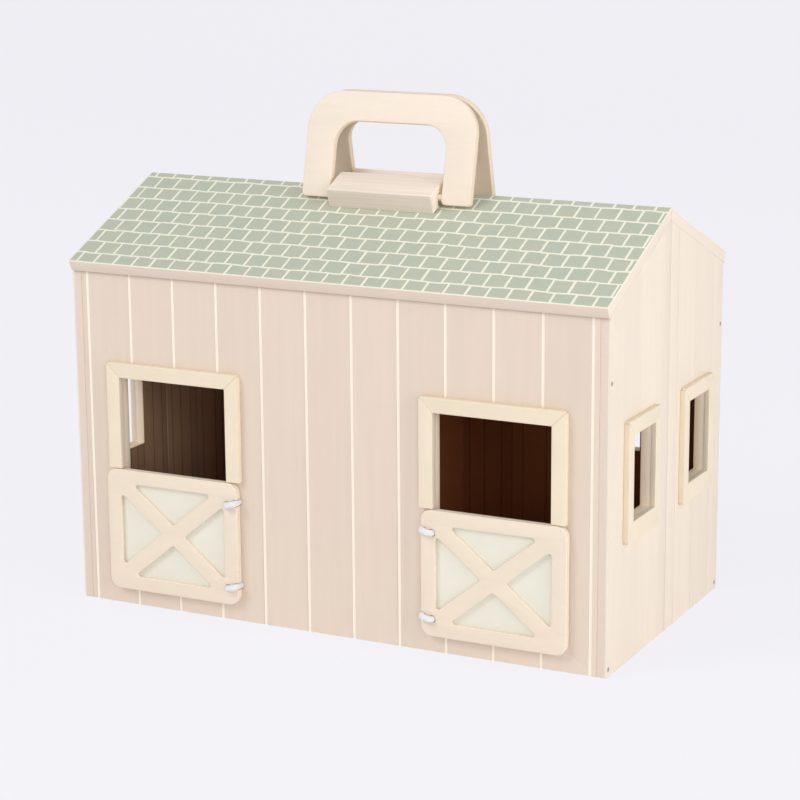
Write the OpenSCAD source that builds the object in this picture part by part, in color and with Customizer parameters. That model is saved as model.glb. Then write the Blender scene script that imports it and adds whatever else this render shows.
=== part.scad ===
// Toy barn in two halves that meet under the ridge and fold open on two hinges.
// Two X-braced half-doors hang on elastic cords, and a carrying handle folds down
// onto each roof slope.  The front is at -Y and the barn stands on z = 0.

/* [Body] */
// Length of the barn along its front
body_w = 350; // [330:1:380]
// Depth of each half, from the seam to the outside of its long wall
half_d = 92; // [84:1:104]
// Height of the long walls at the eaves
wall_h = 208; // [196:1:230]
// Thickness of the wall boards
wall_t = 6; // [4:0.5:7]
// Thickness of the floor boards
floor_t = 6; // [4:0.5:10]
// Gap between the two halves when they are closed
seam_gap = 0.6; // [0.5:0.1:1.2]

/* [Roof] */
// Slope of the roof in degrees
roof_pitch = 23; // [18:1:28]
// Thickness of the roof boards
roof_t = 7; // [5:0.5:10]
// How far the roof stands out past the long wall
eave_overhang = 4.4; // [2:0.1:10]

/* [Plank grooves] */
// Width of one plank
plank_w = 30; // [24:0.5:40]
// Width of the groove between two planks
groove_w = 1.4; // [1:0.1:2]
// Depth of the groove
groove_d = 0.8; // [0.5:0.1:1.2]
// Distance from the seam to the first groove of an end wall
end_plank_y = 14; // [8:0.5:20]

/* [Doorways] */
// Distance from an end of the barn to the middle of the doorway near it
doorway_x = 69.7; // [62:0.1:75]
// Width of a doorway
doorway_w = 73.5; // [66:0.5:78]
// Height of the top of a doorway
doorway_top = 144; // [130:1:160]
// Height of the bottom edge of a doorway
doorway_sill = 18; // [14:1:24]
// Width of the casing strip above a doorway
casing_w = 9; // [6:0.5:12]
// How much wider than the half-door below the casing is, on each side
casing_margin = 0.25; // [0.1:0.05:1]
// Thickness of the casing strips round a doorway
casing_t = 4; // [2.5:0.5:6]
// Gap between the top of a half-door and the casing above it
casing_gap = 0.4; // [0.3:0.1:2]
// Gap at each mitre between two casing strips
mitre_gap = 0.1; // [0.05:0.05:0.3]

/* [Half-doors] */
// Width of a half-door
door_w = 91; // [86:0.5:96]
// Height of a half-door
door_h = 76; // [66:0.5:80]
// Height of the lower edge of a half-door
door_bottom = 10.8; // [8:0.1:16]
// How far a half-door hangs past the middle of its doorway, away from its cords
door_shift = 1.4; // [0:0.1:2]
// Radius of the corners of a half-door
door_r = 6.5; // [4:0.5:8]
// Gap between a closed half-door and the wall
door_gap = 0.3; // [0.25:0.05:0.8]
// Thickness of the backing panel
panel_t = 2; // [1.8:0.1:3]
// Thickness of the braced frame on the panel
frame_t = 2.5; // [2:0.1:4]
// Width of the top and bottom rails
rail_w = 8.6; // [6:0.1:11]
// Width of the two stiles
stile_w = 9.2; // [8.8:0.1:12]
// Width of the crossed braces
brace_w = 9.6; // [6:0.1:11]
// Radius of the corners inside the braced frame
brace_r = 1.5; // [1:0.1:2.5]

/* [Hinge cords] */
// Thickness of the elastic cord
cord_d = 4; // [3.6:0.1:4.4]
// Gap between the cord and its holes, all round
cord_gap = 0.2; // [0.1:0.05:0.4]
// Distance from the hinge edge of a half-door to its cord holes
cord_inset = 7; // [6:0.5:9]
// How far inside that edge the cord passes back to the wall, through a notch
cord_notch = 0.9; // [0.5:0.1:1.5]
// How much higher the cord holes in the wall are
cord_rise = 1.5; // [0:0.5:4]
// Distance from the top of a half-door down to the upper cord hole
cord_top = 13.5; // [10:0.5:16]
// Distance from the bottom of a half-door up to the lower cord hole
cord_bottom = 10.5; // [8:0.5:14]
// Radius of the cord's bend where it leaves a hole, on its inner side
cord_bend = 0.3; // [0.3:0.1:1]
// Width of the flat knot in the back of a half-door
flat_knot_d = 6.8; // [6:0.1:7]
// Width of the round knot inside the wall
knot_d = 7.6; // [6.5:0.1:10]

/* [Windows] */
// Width of a window
window_w = 34; // [26:0.5:36]
// Height of a window
window_h = 50.5; // [40:0.5:60]
// Height of the bottom edge of a window
window_bottom = 84.5; // [80:0.5:96]
// Distance from the seam to the middle of an end window
window_y = 45; // [43:0.5:47]
// Distance from an end of the barn to the middle of the rear window near it
rear_window_x = 67; // [50:1:90]
// Width of the casing strips beside a window
window_side_w = 8; // [5:0.5:8.5]
// Width of the casing strip above a window
window_head_w = 9; // [6:0.5:12]
// Width of the casing strip below a window
window_sill_w = 12; // [8:0.5:16]
// Thickness of the casing strips round a window
window_casing_t = 3.5; // [3:0.1:5]

/* [Handles] */
// Thickness of the handle
handle_t = 4.5; // [4:0.1:6]
// Width of the handle
handle_w = 112.5; // [100:0.5:125]
// Width of each leg
leg_w = 19; // [16:0.5:23]
// Height of the hand bar at the top
bar_h = 18; // [15:0.1:22]
// Distance from the pivot to the top of the handle
handle_up = 60; // [56:0.1:68]
// Distance from the pivot to the feet of the handle
handle_foot = 4.6; // [3.5:0.1:4.8]
// Radius of the two outer corners at the top
handle_outer_r = 23; // [16:0.5:27]
// Radius of the two inner corners at the top
handle_inner_r = 14.5; // [8:0.5:18]
// Radius of the corners of the feet
foot_r = 2.5; // [1:0.1:3]
// Diameter of the round bar that turns in the block
journal_d = 4.3; // [3.4:0.1:4.4]
// Gap between the round bar and its bore, all round
journal_gap = 0.05; // [0.03:0.01:0.1]
// Distance down the slope from the ridge to the pivot
pivot_s = 14.7; // [13:0.1:17]
// Height of the pivot above the roof
pivot_h = 5.6; // [5.5:0.1:6.5]
// Gap between a closed handle and the middle plane of the barn
handle_seam_gap = 0.2; // [0.15:0.05:0.6]

/* [Handle blocks] */
// Gap between the block's ends and the legs of the handle
block_end_gap = 2.2; // [0.4:0.1:3]
// Distance down the slope from the ridge to the block
block_s = 3; // [2:0.1:4]
// Width of the block down the slope
block_d = 22; // [20:0.5:24]
// Height of the block above the roof
block_h = 12; // [11.5:0.1:13]

/* [Screws and brads] */
// Diameter of the block's screws
screw_d = 3; // [2.5:0.1:3.4]
// Diameter of their heads
screw_head_d = 5.6; // [4.5:0.1:6]
// Height of their heads
screw_head_h = 1.8; // [1:0.1:2.2]
// How deep they reach into the block
screw_bite = 6; // [4:0.5:7]
// Distance from the middle of the barn to the block's screws
screw_x = 24; // [15:0.5:28]
// Gap round a screw or brad in its hole
screw_gap = 0.05; // [0.03:0.01:0.1]
// Diameter of the brads
brad_d = 1.2; // [1:0.1:1.6]
// Diameter of the brads' heads
brad_head_d = 2.8; // [2:0.1:3.2]
// Length of the brads
brad_l = 16; // [12:1:24]
// Height of the lower brads
brad_low = 4.5; // [3.5:0.5:8]
// Height of the upper brads
brad_high = 170; // [150:1:185]

/* [Fold hinges] */
// Height of a hinge leaf
leaf_h = 30; // [24:1:36]
// Distance from the hinge line to the edge of a leaf
leaf_w = 16; // [13:0.5:19]
// Thickness of a leaf
leaf_t = 1; // [0.8:0.1:1.2]
// Diameter of the knuckles
knuckle_d = 3.2; // [3:0.1:3.2]
// Diameter of the hinge pins
pin_d = 1.6; // [1.4:0.1:1.8]
// Diameter of the flat heads of the pins
pin_head_d = 2.8; // [2:0.1:3]
// Thickness of the flat heads of the pins
pin_head_t = 0.5; // [0.3:0.1:1]
// Gap between a pin and its knuckles, all round
pin_gap = 0.05; // [0.03:0.01:0.1]
// Gap between two knuckles, and between a knuckle and what it turns beside
knuckle_gap = 0.3; // [0.25:0.05:0.4]
// Height of the middle of the lower hinge
hinge_low = 40; // [30:1:50]
// Height of the middle of the upper hinge
hinge_high = 180; // [170:1:182]

/* [Hidden] */
$fn = 48;
y0 = seam_gap / 2;
hx = body_w / 2;
in_x = hx - wall_t;
in_y = half_d - wall_t;
eps = 0.2;

// Underside of the roof at a distance y from the seam, and the ridge line on top
function under(y) = wall_h + (half_d - y) * tan(roof_pitch);
ridge_z = under(0) + roof_t / cos(roof_pitch);
eave_y = half_d + eave_overhang;

// Middle of a doorway and of a rear window, and the width of the doorway's casing legs
door_mid_x = hx - doorway_x;
rear_mid_x = hx - rear_window_x;
casing_side = (door_w - doorway_w) / 2 + casing_margin;

// Middle, hinge edge and faces of the left half-door
door_x = -(door_mid_x + door_shift);
door_edge = door_x + door_w / 2;
panel_y = -(half_d + door_gap);
frame_y = panel_y - panel_t;
face_y = frame_y - frame_t;
door_mid = door_bottom + door_h / 2;
door_top = door_bottom + door_h;
cord_z = [door_top - cord_top, door_bottom + cord_bottom];
cord_hole_r = cord_d / 2 + cord_gap;
cord_across = cord_inset - cord_notch;
cord_span = norm([cord_across, cord_rise]);
cord_tilt = atan2(cord_rise, cord_across);
bend_r = cord_d / 2 + cord_bend;
knot_gap = 0.15;

// Handle: pivot in the half's own plane, and how far it leans towards the ridge
leg_x = handle_w / 2 - leg_w;
block_x = leg_x - block_end_gap;
bore_r = journal_d / 2 + journal_gap;
pivot_y = pivot_s * cos(roof_pitch) + pivot_h * sin(roof_pitch);
pivot_z = ridge_z - pivot_s * sin(roof_pitch) + pivot_h * cos(roof_pitch);
lean = asin((pivot_y - handle_seam_gap) / norm([handle_up, handle_t / 2]))
     - atan(handle_t / 2 / handle_up);
screw_s = [(block_s + pivot_s - bore_r) / 2, (pivot_s + bore_r + block_s + block_d) / 2];

// Fold hinges: the knuckles stand out no further than the window casings
knuckle_r = knuckle_d / 2;
axis_x = -(hx + window_casing_t - knuckle_r);
knuckle_l = (leaf_h - 2 * knuckle_gap) / 3;
knuckle_step = knuckle_l + knuckle_gap;
leaf_edge = knuckle_r + knuckle_gap;
leaf_screw_y = (leaf_edge + leaf_w) / 2;
leaf_screw_z = leaf_h * 0.3;
leaf_screw_r = 0.7;
leaf_head_r = 1.5;
leaf_screw_l = wall_t - 1.5;
brad_y = half_d - wall_t / 2;
brad_head_h = 0.6;

// The rear half is drawn as it stands, and the front half as its mirror image
module to_front() {
    mirror([0, 1, 0]) children();
}

module to_right() {
    mirror([1, 0, 0]) children();
}

// Local y runs down the rear slope from the ridge, and local z stands on the roof
module on_slope() {
    translate([0, 0, ridge_z]) rotate([-roof_pitch, 0, 0]) children();
}

// A profile in the y-z plane, drawn out along x from x0
module along_x(x0, length) {
    translate([x0, 0, 0]) rotate([90, 0, 90]) linear_extrude(length) children();
}

module rounded_rect(w, h, r) {
    square([w - 2 * r, h], center = true);
    square([w, h - 2 * r], center = true);
    for (x = [-1, 1])
        for (y = [-1, 1])
            translate([x * (w / 2 - r), y * (h / 2 - r)]) circle(r);
}

// Cutter for an upright V groove in a face that looks towards +y
module groove(height) {
    half = groove_w / 2 * (groove_d + eps) / groove_d;
    translate([0, 0, -1]) linear_extrude(height + 2) polygon([[-half, eps], [0, -groove_d], [half, eps]]);
}

module floor_board() {
    translate([-in_x, y0, 0]) cube([2 * in_x, in_y - y0, floor_t]);
}

module long_wall_blank() {
    planks = floor((2 * in_x - 2 * groove_w) / plank_w);
    difference() {
        along_x(-in_x, 2 * in_x)
            polygon([[in_y, 0], [half_d, 0], [half_d, wall_h], [in_y, under(in_y)]]);
        for (i = [0 : planks])
            translate([(i - planks / 2) * plank_w, half_d, 0]) groove(wall_h);
        for (s = [-1, 1])
            for (z = [brad_low, brad_high])
                translate([s * hx, brad_y, z]) rotate([0, -s * 90, 0])
                    cylinder(h = brad_l + 1, r = brad_d / 2 + screw_gap);
    }
}

// Left end wall of the rear half
module end_wall(hinged, windowed) {
    difference() {
        along_x(-hx, wall_t)
            polygon([[y0, 0], [half_d, 0], [half_d, wall_h], [y0, under(y0)]]);
        if (windowed)
            translate([-hx - 1, window_y - window_w / 2, window_bottom])
                cube([wall_t + 2, window_w, window_h]);
        for (y = [end_plank_y : plank_w : half_d - 2 * groove_w])
            translate([-hx, y, 0]) rotate([0, 0, 90]) groove(under(0));
        for (z = [brad_low, brad_high])
            translate([-hx, brad_y, z]) rotate([0, 90, 0]) {
                translate([0, 0, -1]) cylinder(h = wall_t + 2, r = brad_d / 2 + screw_gap);
                translate([0, 0, -1]) cylinder(h = 1 + brad_head_h, r = brad_head_d / 2 + screw_gap);
            }
        if (hinged)
            leaf_screw_places()
                cylinder(h = leaf_t + leaf_screw_l + 0.5, r = leaf_screw_r + screw_gap);
    }
}

module roof_board() {
    tip = [eave_y, ridge_z - eave_y * tan(roof_pitch)];
    difference() {
        along_x(-hx, body_w)
            polygon([
                [y0, ridge_z - y0 * tan(roof_pitch)],
                tip,
                tip - roof_t * [sin(roof_pitch), cos(roof_pitch)],
                [y0, under(y0)]
            ]);
        on_slope() screw_places(-roof_t - 1)
            cylinder(h = roof_t + 2, r = screw_d / 2 + screw_gap);
    }
}

// The divider stands under the roof in the middle of a half
module divider() {
    along_x(-wall_t / 2, wall_t)
        polygon([[y0, floor_t], [in_y, floor_t], [in_y, under(in_y)], [y0, under(y0)]]);
}

// Casing strips round an opening w wide from z0 to z1, in the x-z plane, with
// the mitres running from the opening's corners to the outer corners.
// The sill strip is left out where sill is 0, and the legs then end at leg_z.
module casing(w, z0, z1, side, head, sill, t, leg_z) {
    a = w / 2;
    b = a + side;
    low_in = sill > 0 ? z0 : leg_z;
    low_out = sill > 0 ? z0 - sill : leg_z;
    rotate([90, 0, 0]) linear_extrude(t) {
        for (s = [-1, 1])
            polygon([[s * a, low_in], [s * b, low_out], [s * b, z1 + head], [s * a, z1]]);
        polygon([
            [-a + mitre_gap, z1], [a - mitre_gap, z1],
            [b - mitre_gap, z1 + head], [-b + mitre_gap, z1 + head]
        ]);
        if (sill > 0)
            polygon([
                [-a + mitre_gap, z0], [a - mitre_gap, z0],
                [b - mitre_gap, z0 - sill], [-b + mitre_gap, z0 - sill]
            ]);
    }
}

module window_casing() {
    casing(window_w, window_bottom, window_bottom + window_h,
        window_side_w, window_head_w, window_sill_w, window_casing_t, 0);
}

// Window casing on the left end of the rear half
module end_window_casing() {
    translate([-hx, window_y, 0]) rotate([0, 0, -90]) window_casing();
}

module left_door_place() {
    translate([door_x, 0, door_mid]) rotate([90, 0, 0]) children();
}

// A triangle with its corners rounded: the triangle drawn in towards its incentre,
// with a circle on each corner and a strip along each side
module soft_triangle(p, r) {
    len_a = norm(p[2] - p[1]);
    len_b = norm(p[0] - p[2]);
    len_c = norm(p[1] - p[0]);
    round_len = len_a + len_b + len_c;
    centre = (len_a * p[0] + len_b * p[1] + len_c * p[2]) / round_len;
    area = abs((p[1][0] - p[0][0]) * (p[2][1] - p[0][1]) - (p[2][0] - p[0][0]) * (p[1][1] - p[0][1])) / 2;
    k = 1 - r * round_len / 2 / area;
    q = [for (c = p) centre + k * (c - centre)];
    polygon(q);
    for (i = [0 : 2]) {
        from = q[i];
        step = q[(i + 1) % 3] - from;
        translate(from) circle(r);
        translate(from) rotate(atan2(step[1], step[0])) translate([0, -r]) square([norm(step), 2 * r]);
    }
}

// The braced frame in its own plane, about the middle of the door
module frame_outline() {
    a = door_w / 2 - stile_w;
    b = door_h / 2 - rail_w;
    diagonal = norm([a, b]);
    ka = brace_w / 2 * diagonal / a;
    kb = brace_w / 2 * diagonal / b;
    difference() {
        rounded_rect(door_w, door_h, door_r);
        for (s = [-1, 1]) {
            soft_triangle([[-(a - kb), s * b], [a - kb, s * b], [0, s * ka]], brace_r);
            soft_triangle([[s * a, b - ka], [s * a, -(b - ka)], [s * kb, 0]], brace_r);
        }
    }
}

// Places of the cord holes in the left half-door, in the door's own plane
module door_cord_places() {
    for (z = cord_z)
        translate([door_w / 2 - cord_inset, z - door_mid]) children();
}

// Notches in its hinge edge, where the cords pass back to the wall
module door_notches() {
    for (z = cord_z)
        translate([door_w / 2 - cord_notch, z + cord_rise - door_mid]) {
            circle(cord_hole_r);
            translate([0, -cord_hole_r]) square([cord_notch + 1, 2 * cord_hole_r]);
        }
}

// Backing panel of the left half-door, with a round pocket behind each cord hole
module left_panel() {
    left_door_place() translate([0, 0, -panel_y]) linear_extrude(panel_t) difference() {
        rounded_rect(door_w, door_h, door_r);
        door_cord_places() circle(flat_knot_d / 2 + cord_gap);
        door_notches();
    }
}

module left_frame() {
    left_door_place() translate([0, 0, -frame_y]) linear_extrude(frame_t) difference() {
        frame_outline();
        door_cord_places() circle(cord_hole_r);
        door_notches();
    }
}

// One ring of the cord: centre along and out, direction in degrees, radius
function ring(c) = [
    for (i = [0 : cord_sides - 1])
        let (a = 360 * i / cord_sides)
        [c[0] - sin(c[2]) * c[3] * cos(a), c[3] * sin(a), c[1] + cos(c[2]) * c[3] * cos(a)]
];
cord_sides = 12;
wall_in = face_y + in_y;
cord_rings = concat(
    [for (k = [[0, 0.7], [0.25, 1], [0.75, 1], [1, 0.7]])
        [0, -frame_t - panel_t + knot_gap + k[0] * (panel_t - 2 * knot_gap), 90, k[1] * flat_knot_d / 2]],
    [[0, -frame_t, 90, cord_d / 2]],
    [for (a = [0 : 22.5 : 90]) [bend_r - bend_r * cos(a), bend_r * sin(a), 90 - a, cord_d / 2]],
    [for (a = [90 : -22.5 : 0])
        [cord_span - bend_r + bend_r * cos(a), bend_r * sin(a), a - 90, cord_d / 2]],
    [[cord_span, wall_in, -90, cord_d / 2]],
    [for (a = [30 : 20 : 150])
        [cord_span, wall_in - knot_gap - knot_d / 2 * (1 - cos(a)), -90, knot_d / 2 * sin(a)]]
);

// One hinge cord, from its flat knot in the door to its round knot inside the wall.
// Local x runs from the door's hole to the wall's, and local z stands out of the front.
module cord() {
    n = len(cord_rings);
    m = cord_sides;
    points = [for (c = cord_rings) each ring(c)];
    sides = [
        for (j = [0 : n - 2])
            for (i = [0 : m - 1])
                let (i2 = (i + 1) % m)
                each [
                    [j * m + i, j * m + i2, (j + 1) * m + i2],
                    [j * m + i, (j + 1) * m + i2, (j + 1) * m + i]
                ]
    ];
    start = [for (i = [1 : m - 2]) [0, i + 1, i]];
    finish = [for (i = [1 : m - 2]) [(n - 1) * m, (n - 1) * m + i, (n - 1) * m + i + 1]];
    polyhedron(points = points, faces = concat(sides, start, finish), convexity = 6);
}

module left_cords() {
    for (z = cord_z)
        translate([door_edge - cord_inset, face_y, z])
            rotate([0, -cord_tilt, 0]) rotate([90, 0, 0]) cord();
}

// Handle in its own plane: x across, y up from the pivot
module handle_outline() {
    difference() {
        union() {
            translate([-handle_w / 2, foot_r - handle_foot])
                square([handle_w, handle_up - handle_outer_r + handle_foot - foot_r]);
            translate([-handle_w / 2 + handle_outer_r, 0])
                square([handle_w - 2 * handle_outer_r, handle_up]);
            for (s = [-1, 1]) {
                translate([s * (handle_w / 2 - handle_outer_r), handle_up - handle_outer_r])
                    circle(handle_outer_r);
                translate([s * (leg_x + leg_w / 2), foot_r - handle_foot])
                    square([leg_w - 2 * foot_r, 2 * foot_r], center = true);
                for (e = [leg_x + foot_r, leg_x + leg_w - foot_r])
                    translate([s * e, foot_r - handle_foot]) circle(foot_r);
            }
        }
        translate([-leg_x, -handle_foot - 1])
            square([2 * leg_x, handle_foot + 1 + handle_up - bar_h - handle_inner_r]);
        translate([-leg_x + handle_inner_r, -handle_foot - 1])
            square([2 * (leg_x - handle_inner_r), handle_foot + 1 + handle_up - bar_h]);
        for (s = [-1, 1])
            translate([s * (leg_x - handle_inner_r), handle_up - bar_h - handle_inner_r])
                circle(handle_inner_r);
    }
}

// Handle of the rear half, leaning back to the ridge
module handle() {
    translate([0, pivot_y, pivot_z]) rotate([lean, 0, 0]) {
        rotate([90, 0, 0]) linear_extrude(handle_t, center = true) handle_outline();
        translate([-leg_x - 1, 0, 0]) rotate([0, 90, 0]) cylinder(h = 2 * (leg_x + 1), r = journal_d / 2);
    }
}

// Screws of the block, in the slope's frame, from height h upwards
module screw_places(h) {
    for (s = [-1, 1])
        for (y = screw_s)
            translate([s * screw_x, y, h]) children();
}

// Clamp block with its bore for the round bar, a slot up to it and its screw holes
module handle_block() {
    on_slope() difference() {
        translate([-block_x, block_s, 0]) cube([2 * block_x, block_d, block_h]);
        translate([-block_x - 1, pivot_s, pivot_h]) rotate([0, 90, 0])
            cylinder(h = 2 * block_x + 2, r = bore_r);
        translate([-block_x - 1, pivot_s - bore_r, -1])
            cube([2 * block_x + 2, 2 * bore_r, pivot_h + 1]);
        screw_places(-1) cylinder(h = screw_bite + 1.3, r = screw_d / 2 + screw_gap);
    }
}

module block_screws() {
    on_slope() screw_places(-roof_t - screw_head_h) {
        cylinder(h = screw_head_h, r = screw_head_d / 2);
        cylinder(h = screw_head_h + roof_t + screw_bite, r = screw_d / 2);
    }
}

module brads() {
    for (s = [-1, 1])
        for (z = [brad_low, brad_high])
            translate([s * hx, brad_y, z]) rotate([0, -s * 90, 0]) {
                cylinder(h = brad_head_h, r = brad_head_d / 2);
                cylinder(h = brad_l, r = brad_d / 2);
            }
}

// Screws of the rear hinge leaves, from the outside of the leaf inwards
module leaf_screw_places() {
    for (z = [hinge_low, hinge_high])
        for (s = [-1, 1])
            translate([-hx - leaf_t, leaf_screw_y, z + s * leaf_screw_z]) rotate([0, 90, 0]) children();
}

// A leaf of the rear half with the knuckles at the given places, 0 the lowest.
// It reaches in to the hinge line only at its own knuckles.
module leaf(places) {
    for (zc = [hinge_low, hinge_high])
        difference() {
            union() {
                translate([-hx - leaf_t, leaf_edge, zc - leaf_h / 2])
                    cube([leaf_t, leaf_w - leaf_edge, leaf_h]);
                for (p = places)
                    translate([0, 0, zc - leaf_h / 2 + p * knuckle_step]) {
                        translate([axis_x, 0, 0]) cylinder(h = knuckle_l, r = knuckle_r);
                        translate([-hx - leaf_t, y0, 0]) cube([leaf_t, leaf_edge, knuckle_l]);
                    }
            }
            translate([axis_x, 0, zc - leaf_h / 2 - 1]) cylinder(h = leaf_h + 2, r = pin_d / 2 + pin_gap);
            leaf_screw_places() {
                translate([0, 0, -1]) cylinder(h = leaf_t + 2, r = leaf_screw_r + screw_gap);
                cylinder(h = leaf_t * 0.8, r1 = leaf_head_r + screw_gap, r2 = leaf_screw_r + screw_gap);
            }
        }
}

module leaf_screws() {
    leaf_screw_places() {
        cylinder(h = leaf_t * 0.8, r1 = leaf_head_r, r2 = leaf_screw_r);
        cylinder(h = leaf_t + leaf_screw_l, r = leaf_screw_r);
    }
}

module front_floor() { color([0.62, 0.48, 0.36]) to_front() floor_board(); }
module rear_floor() { color([0.62, 0.48, 0.36]) floor_board(); }

// Front wall with its doorways and the wall ends of the hinge cords
module front_wall() {
    color([0.91, 0.86, 0.79]) difference() {
        to_front() long_wall_blank();
        for (s = [-1, 1])
            translate([s * door_mid_x - doorway_w / 2, -half_d - 1, doorway_sill])
                cube([doorway_w, wall_t + 2, doorway_top - doorway_sill]);
        for (s = [-1, 1])
            for (z = cord_z)
                translate([s * (door_edge - cord_notch), -in_y + 1, z + cord_rise])
                    rotate([90, 0, 0]) cylinder(h = wall_t + 2, r = cord_hole_r);
    }
}

module rear_wall() {
    color([0.91, 0.86, 0.79]) difference() {
        long_wall_blank();
        for (s = [-1, 1])
            translate([s * rear_mid_x - window_w / 2, in_y - 1, window_bottom])
                cube([window_w, wall_t + 2, window_h]);
    }
}

module front_left_end() { color([0.96, 0.91, 0.86]) to_front() end_wall(true, true); }
module front_right_end() { color([0.96, 0.91, 0.86]) to_front() to_right() end_wall(false, true); }
module rear_left_end() { color([0.96, 0.91, 0.86]) end_wall(true, false); }
module rear_right_end() { color([0.96, 0.91, 0.86]) to_right() end_wall(false, true); }
module front_roof() { color([0.77, 0.78, 0.70]) to_front() roof_board(); }
module rear_roof() { color([0.77, 0.78, 0.70]) roof_board(); }
module front_divider() { color([0.62, 0.48, 0.36]) to_front() divider(); }
module rear_divider() { color([0.62, 0.48, 0.36]) divider(); }

// Casing of the left doorway
module doorway_casing() {
    translate([-door_mid_x, -half_d, 0])
        casing(doorway_w, doorway_sill, doorway_top, casing_side, casing_w, 0, casing_t,
            door_top + casing_gap);
}

module left_door_casing() { color([0.94, 0.89, 0.79]) doorway_casing(); }
module right_door_casing() { color([0.94, 0.89, 0.79]) to_right() doorway_casing(); }
module front_left_window_casing() { color([0.94, 0.89, 0.79]) to_front() end_window_casing(); }
module front_right_window_casing() { color([0.94, 0.89, 0.79]) to_front() to_right() end_window_casing(); }
module rear_right_window_casing() { color([0.94, 0.89, 0.79]) to_right() end_window_casing(); }
module rear_wall_casings() {
    color([0.94, 0.89, 0.79])
        for (s = [-1, 1])
            translate([s * rear_mid_x, half_d + window_casing_t, 0]) window_casing();
}

module left_door_panel() { color([0.92, 0.91, 0.85]) left_panel(); }
module right_door_panel() { color([0.92, 0.91, 0.85]) to_right() left_panel(); }
module left_door_frame() { color([0.94, 0.89, 0.79]) left_frame(); }
module right_door_frame() { color([0.94, 0.89, 0.79]) to_right() left_frame(); }
module left_door_cords() { color([0.96, 0.95, 0.97]) left_cords(); }
module right_door_cords() { color([0.96, 0.95, 0.97]) to_right() left_cords(); }

module front_handle() { color([0.97, 0.91, 0.85]) to_front() handle(); }
module rear_handle() { color([0.97, 0.91, 0.85]) handle(); }
module front_handle_block() { color([0.96, 0.90, 0.84]) to_front() handle_block(); }
module rear_handle_block() { color([0.96, 0.90, 0.84]) handle_block(); }
module front_block_screws() { color([0.75, 0.75, 0.75]) to_front() block_screws(); }
module rear_block_screws() { color([0.75, 0.75, 0.75]) block_screws(); }
module front_brads() { color([0.75, 0.75, 0.75]) to_front() brads(); }
module rear_brads() { color([0.75, 0.75, 0.75]) brads(); }

module front_hinge_leaves() { color([0.80, 0.70, 0.42]) to_front() leaf([0, 2]); }
module rear_hinge_leaves() { color([0.80, 0.70, 0.42]) leaf([1]); }
module front_hinge_screws() { color([0.80, 0.70, 0.42]) to_front() leaf_screws(); }
module rear_hinge_screws() { color([0.80, 0.70, 0.42]) leaf_screws(); }

// Each pin has a flat head above and below the knuckles
module hinge_pins() {
    color([0.75, 0.75, 0.75])
        for (zc = [hinge_low, hinge_high])
            translate([axis_x, 0, zc - leaf_h / 2]) {
                translate([0, 0, -pin_gap - pin_head_t])
                    cylinder(h = leaf_h + 2 * (pin_gap + pin_head_t), r = pin_d / 2);
                for (z = [-pin_gap - pin_head_t, leaf_h + pin_gap])
                    translate([0, 0, z]) cylinder(h = pin_head_t, r = pin_head_d / 2);
            }
}

front_floor();
front_wall();
front_left_end();
front_right_end();
front_roof();
front_divider();
left_door_casing();
right_door_casing();
front_left_window_casing();
front_right_window_casing();
front_brads();
front_handle_block();
front_block_screws();
front_handle();
rear_floor();
rear_wall();
rear_left_end();
rear_right_end();
rear_roof();
rear_divider();
rear_wall_casings();
rear_right_window_casing();
rear_brads();
rear_handle_block();
rear_block_screws();
rear_handle();
left_door_panel();
left_door_frame();
left_door_cords();
right_door_panel();
right_door_frame();
right_door_cords();
front_hinge_leaves();
rear_hinge_leaves();
hinge_pins();
front_hinge_screws();
rear_hinge_screws();
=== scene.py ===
# %% [markdown]
# # A toy barn that folds open
# The barn is two lean-to halves of thin board that meet under the ridge. This
# lesson dresses a finished measured model: every board is drawn again with softly
# broken edges, and each gets the wood, paint or print that the real one shows.
# All sizes below are in millimetres, and the finished meshes are in metres.

# %% Load the measured model
import bpy
import bmesh
from math import asin, atan, atan2, cos, degrees, floor, hypot, pi, radians, sin, tan, tau
from mathutils import Matrix, Vector


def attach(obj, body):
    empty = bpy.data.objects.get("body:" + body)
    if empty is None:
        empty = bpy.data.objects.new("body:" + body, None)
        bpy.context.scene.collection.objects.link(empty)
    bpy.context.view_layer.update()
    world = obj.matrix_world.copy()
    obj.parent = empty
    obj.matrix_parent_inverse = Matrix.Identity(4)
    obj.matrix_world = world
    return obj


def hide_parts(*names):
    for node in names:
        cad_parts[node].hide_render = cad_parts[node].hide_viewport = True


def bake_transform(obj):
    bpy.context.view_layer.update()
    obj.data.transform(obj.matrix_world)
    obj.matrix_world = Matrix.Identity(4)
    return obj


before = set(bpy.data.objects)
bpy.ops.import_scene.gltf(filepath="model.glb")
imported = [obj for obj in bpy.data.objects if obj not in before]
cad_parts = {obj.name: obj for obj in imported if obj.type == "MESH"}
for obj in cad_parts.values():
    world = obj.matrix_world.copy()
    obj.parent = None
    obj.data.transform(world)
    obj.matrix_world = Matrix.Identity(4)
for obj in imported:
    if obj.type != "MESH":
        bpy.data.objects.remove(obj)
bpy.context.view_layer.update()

# %% Sizes of the barn
BODY_W, HALF_D, WALL_H, WALL_T, FLOOR_T, SEAM = 350.0, 92.0, 208.0, 6.0, 6.0, 0.6
PITCH, ROOF_T, OVERHANG = radians(23), 7.0, 4.4
PLANK, GROOVE_W, GROOVE_D, END_PLANK = 30.0, 1.4, 0.8, 14.0
HX, IN_X, IN_Y, Y0 = BODY_W / 2, BODY_W / 2 - WALL_T, HALF_D - WALL_T, SEAM / 2
RIDGE = WALL_H + HALF_D * tan(PITCH) + ROOF_T / cos(PITCH)
EAVE_S = (HALF_D + OVERHANG) / cos(PITCH)
print("ridge", round(RIDGE, 2), "eave down the slope", round(EAVE_S, 2))

# %% Small helpers
def placed(name, data):
    """An object with this data, in the scene."""
    made = bpy.data.objects.new(name, data)
    bpy.context.scene.collection.objects.link(made)
    return made


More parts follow.
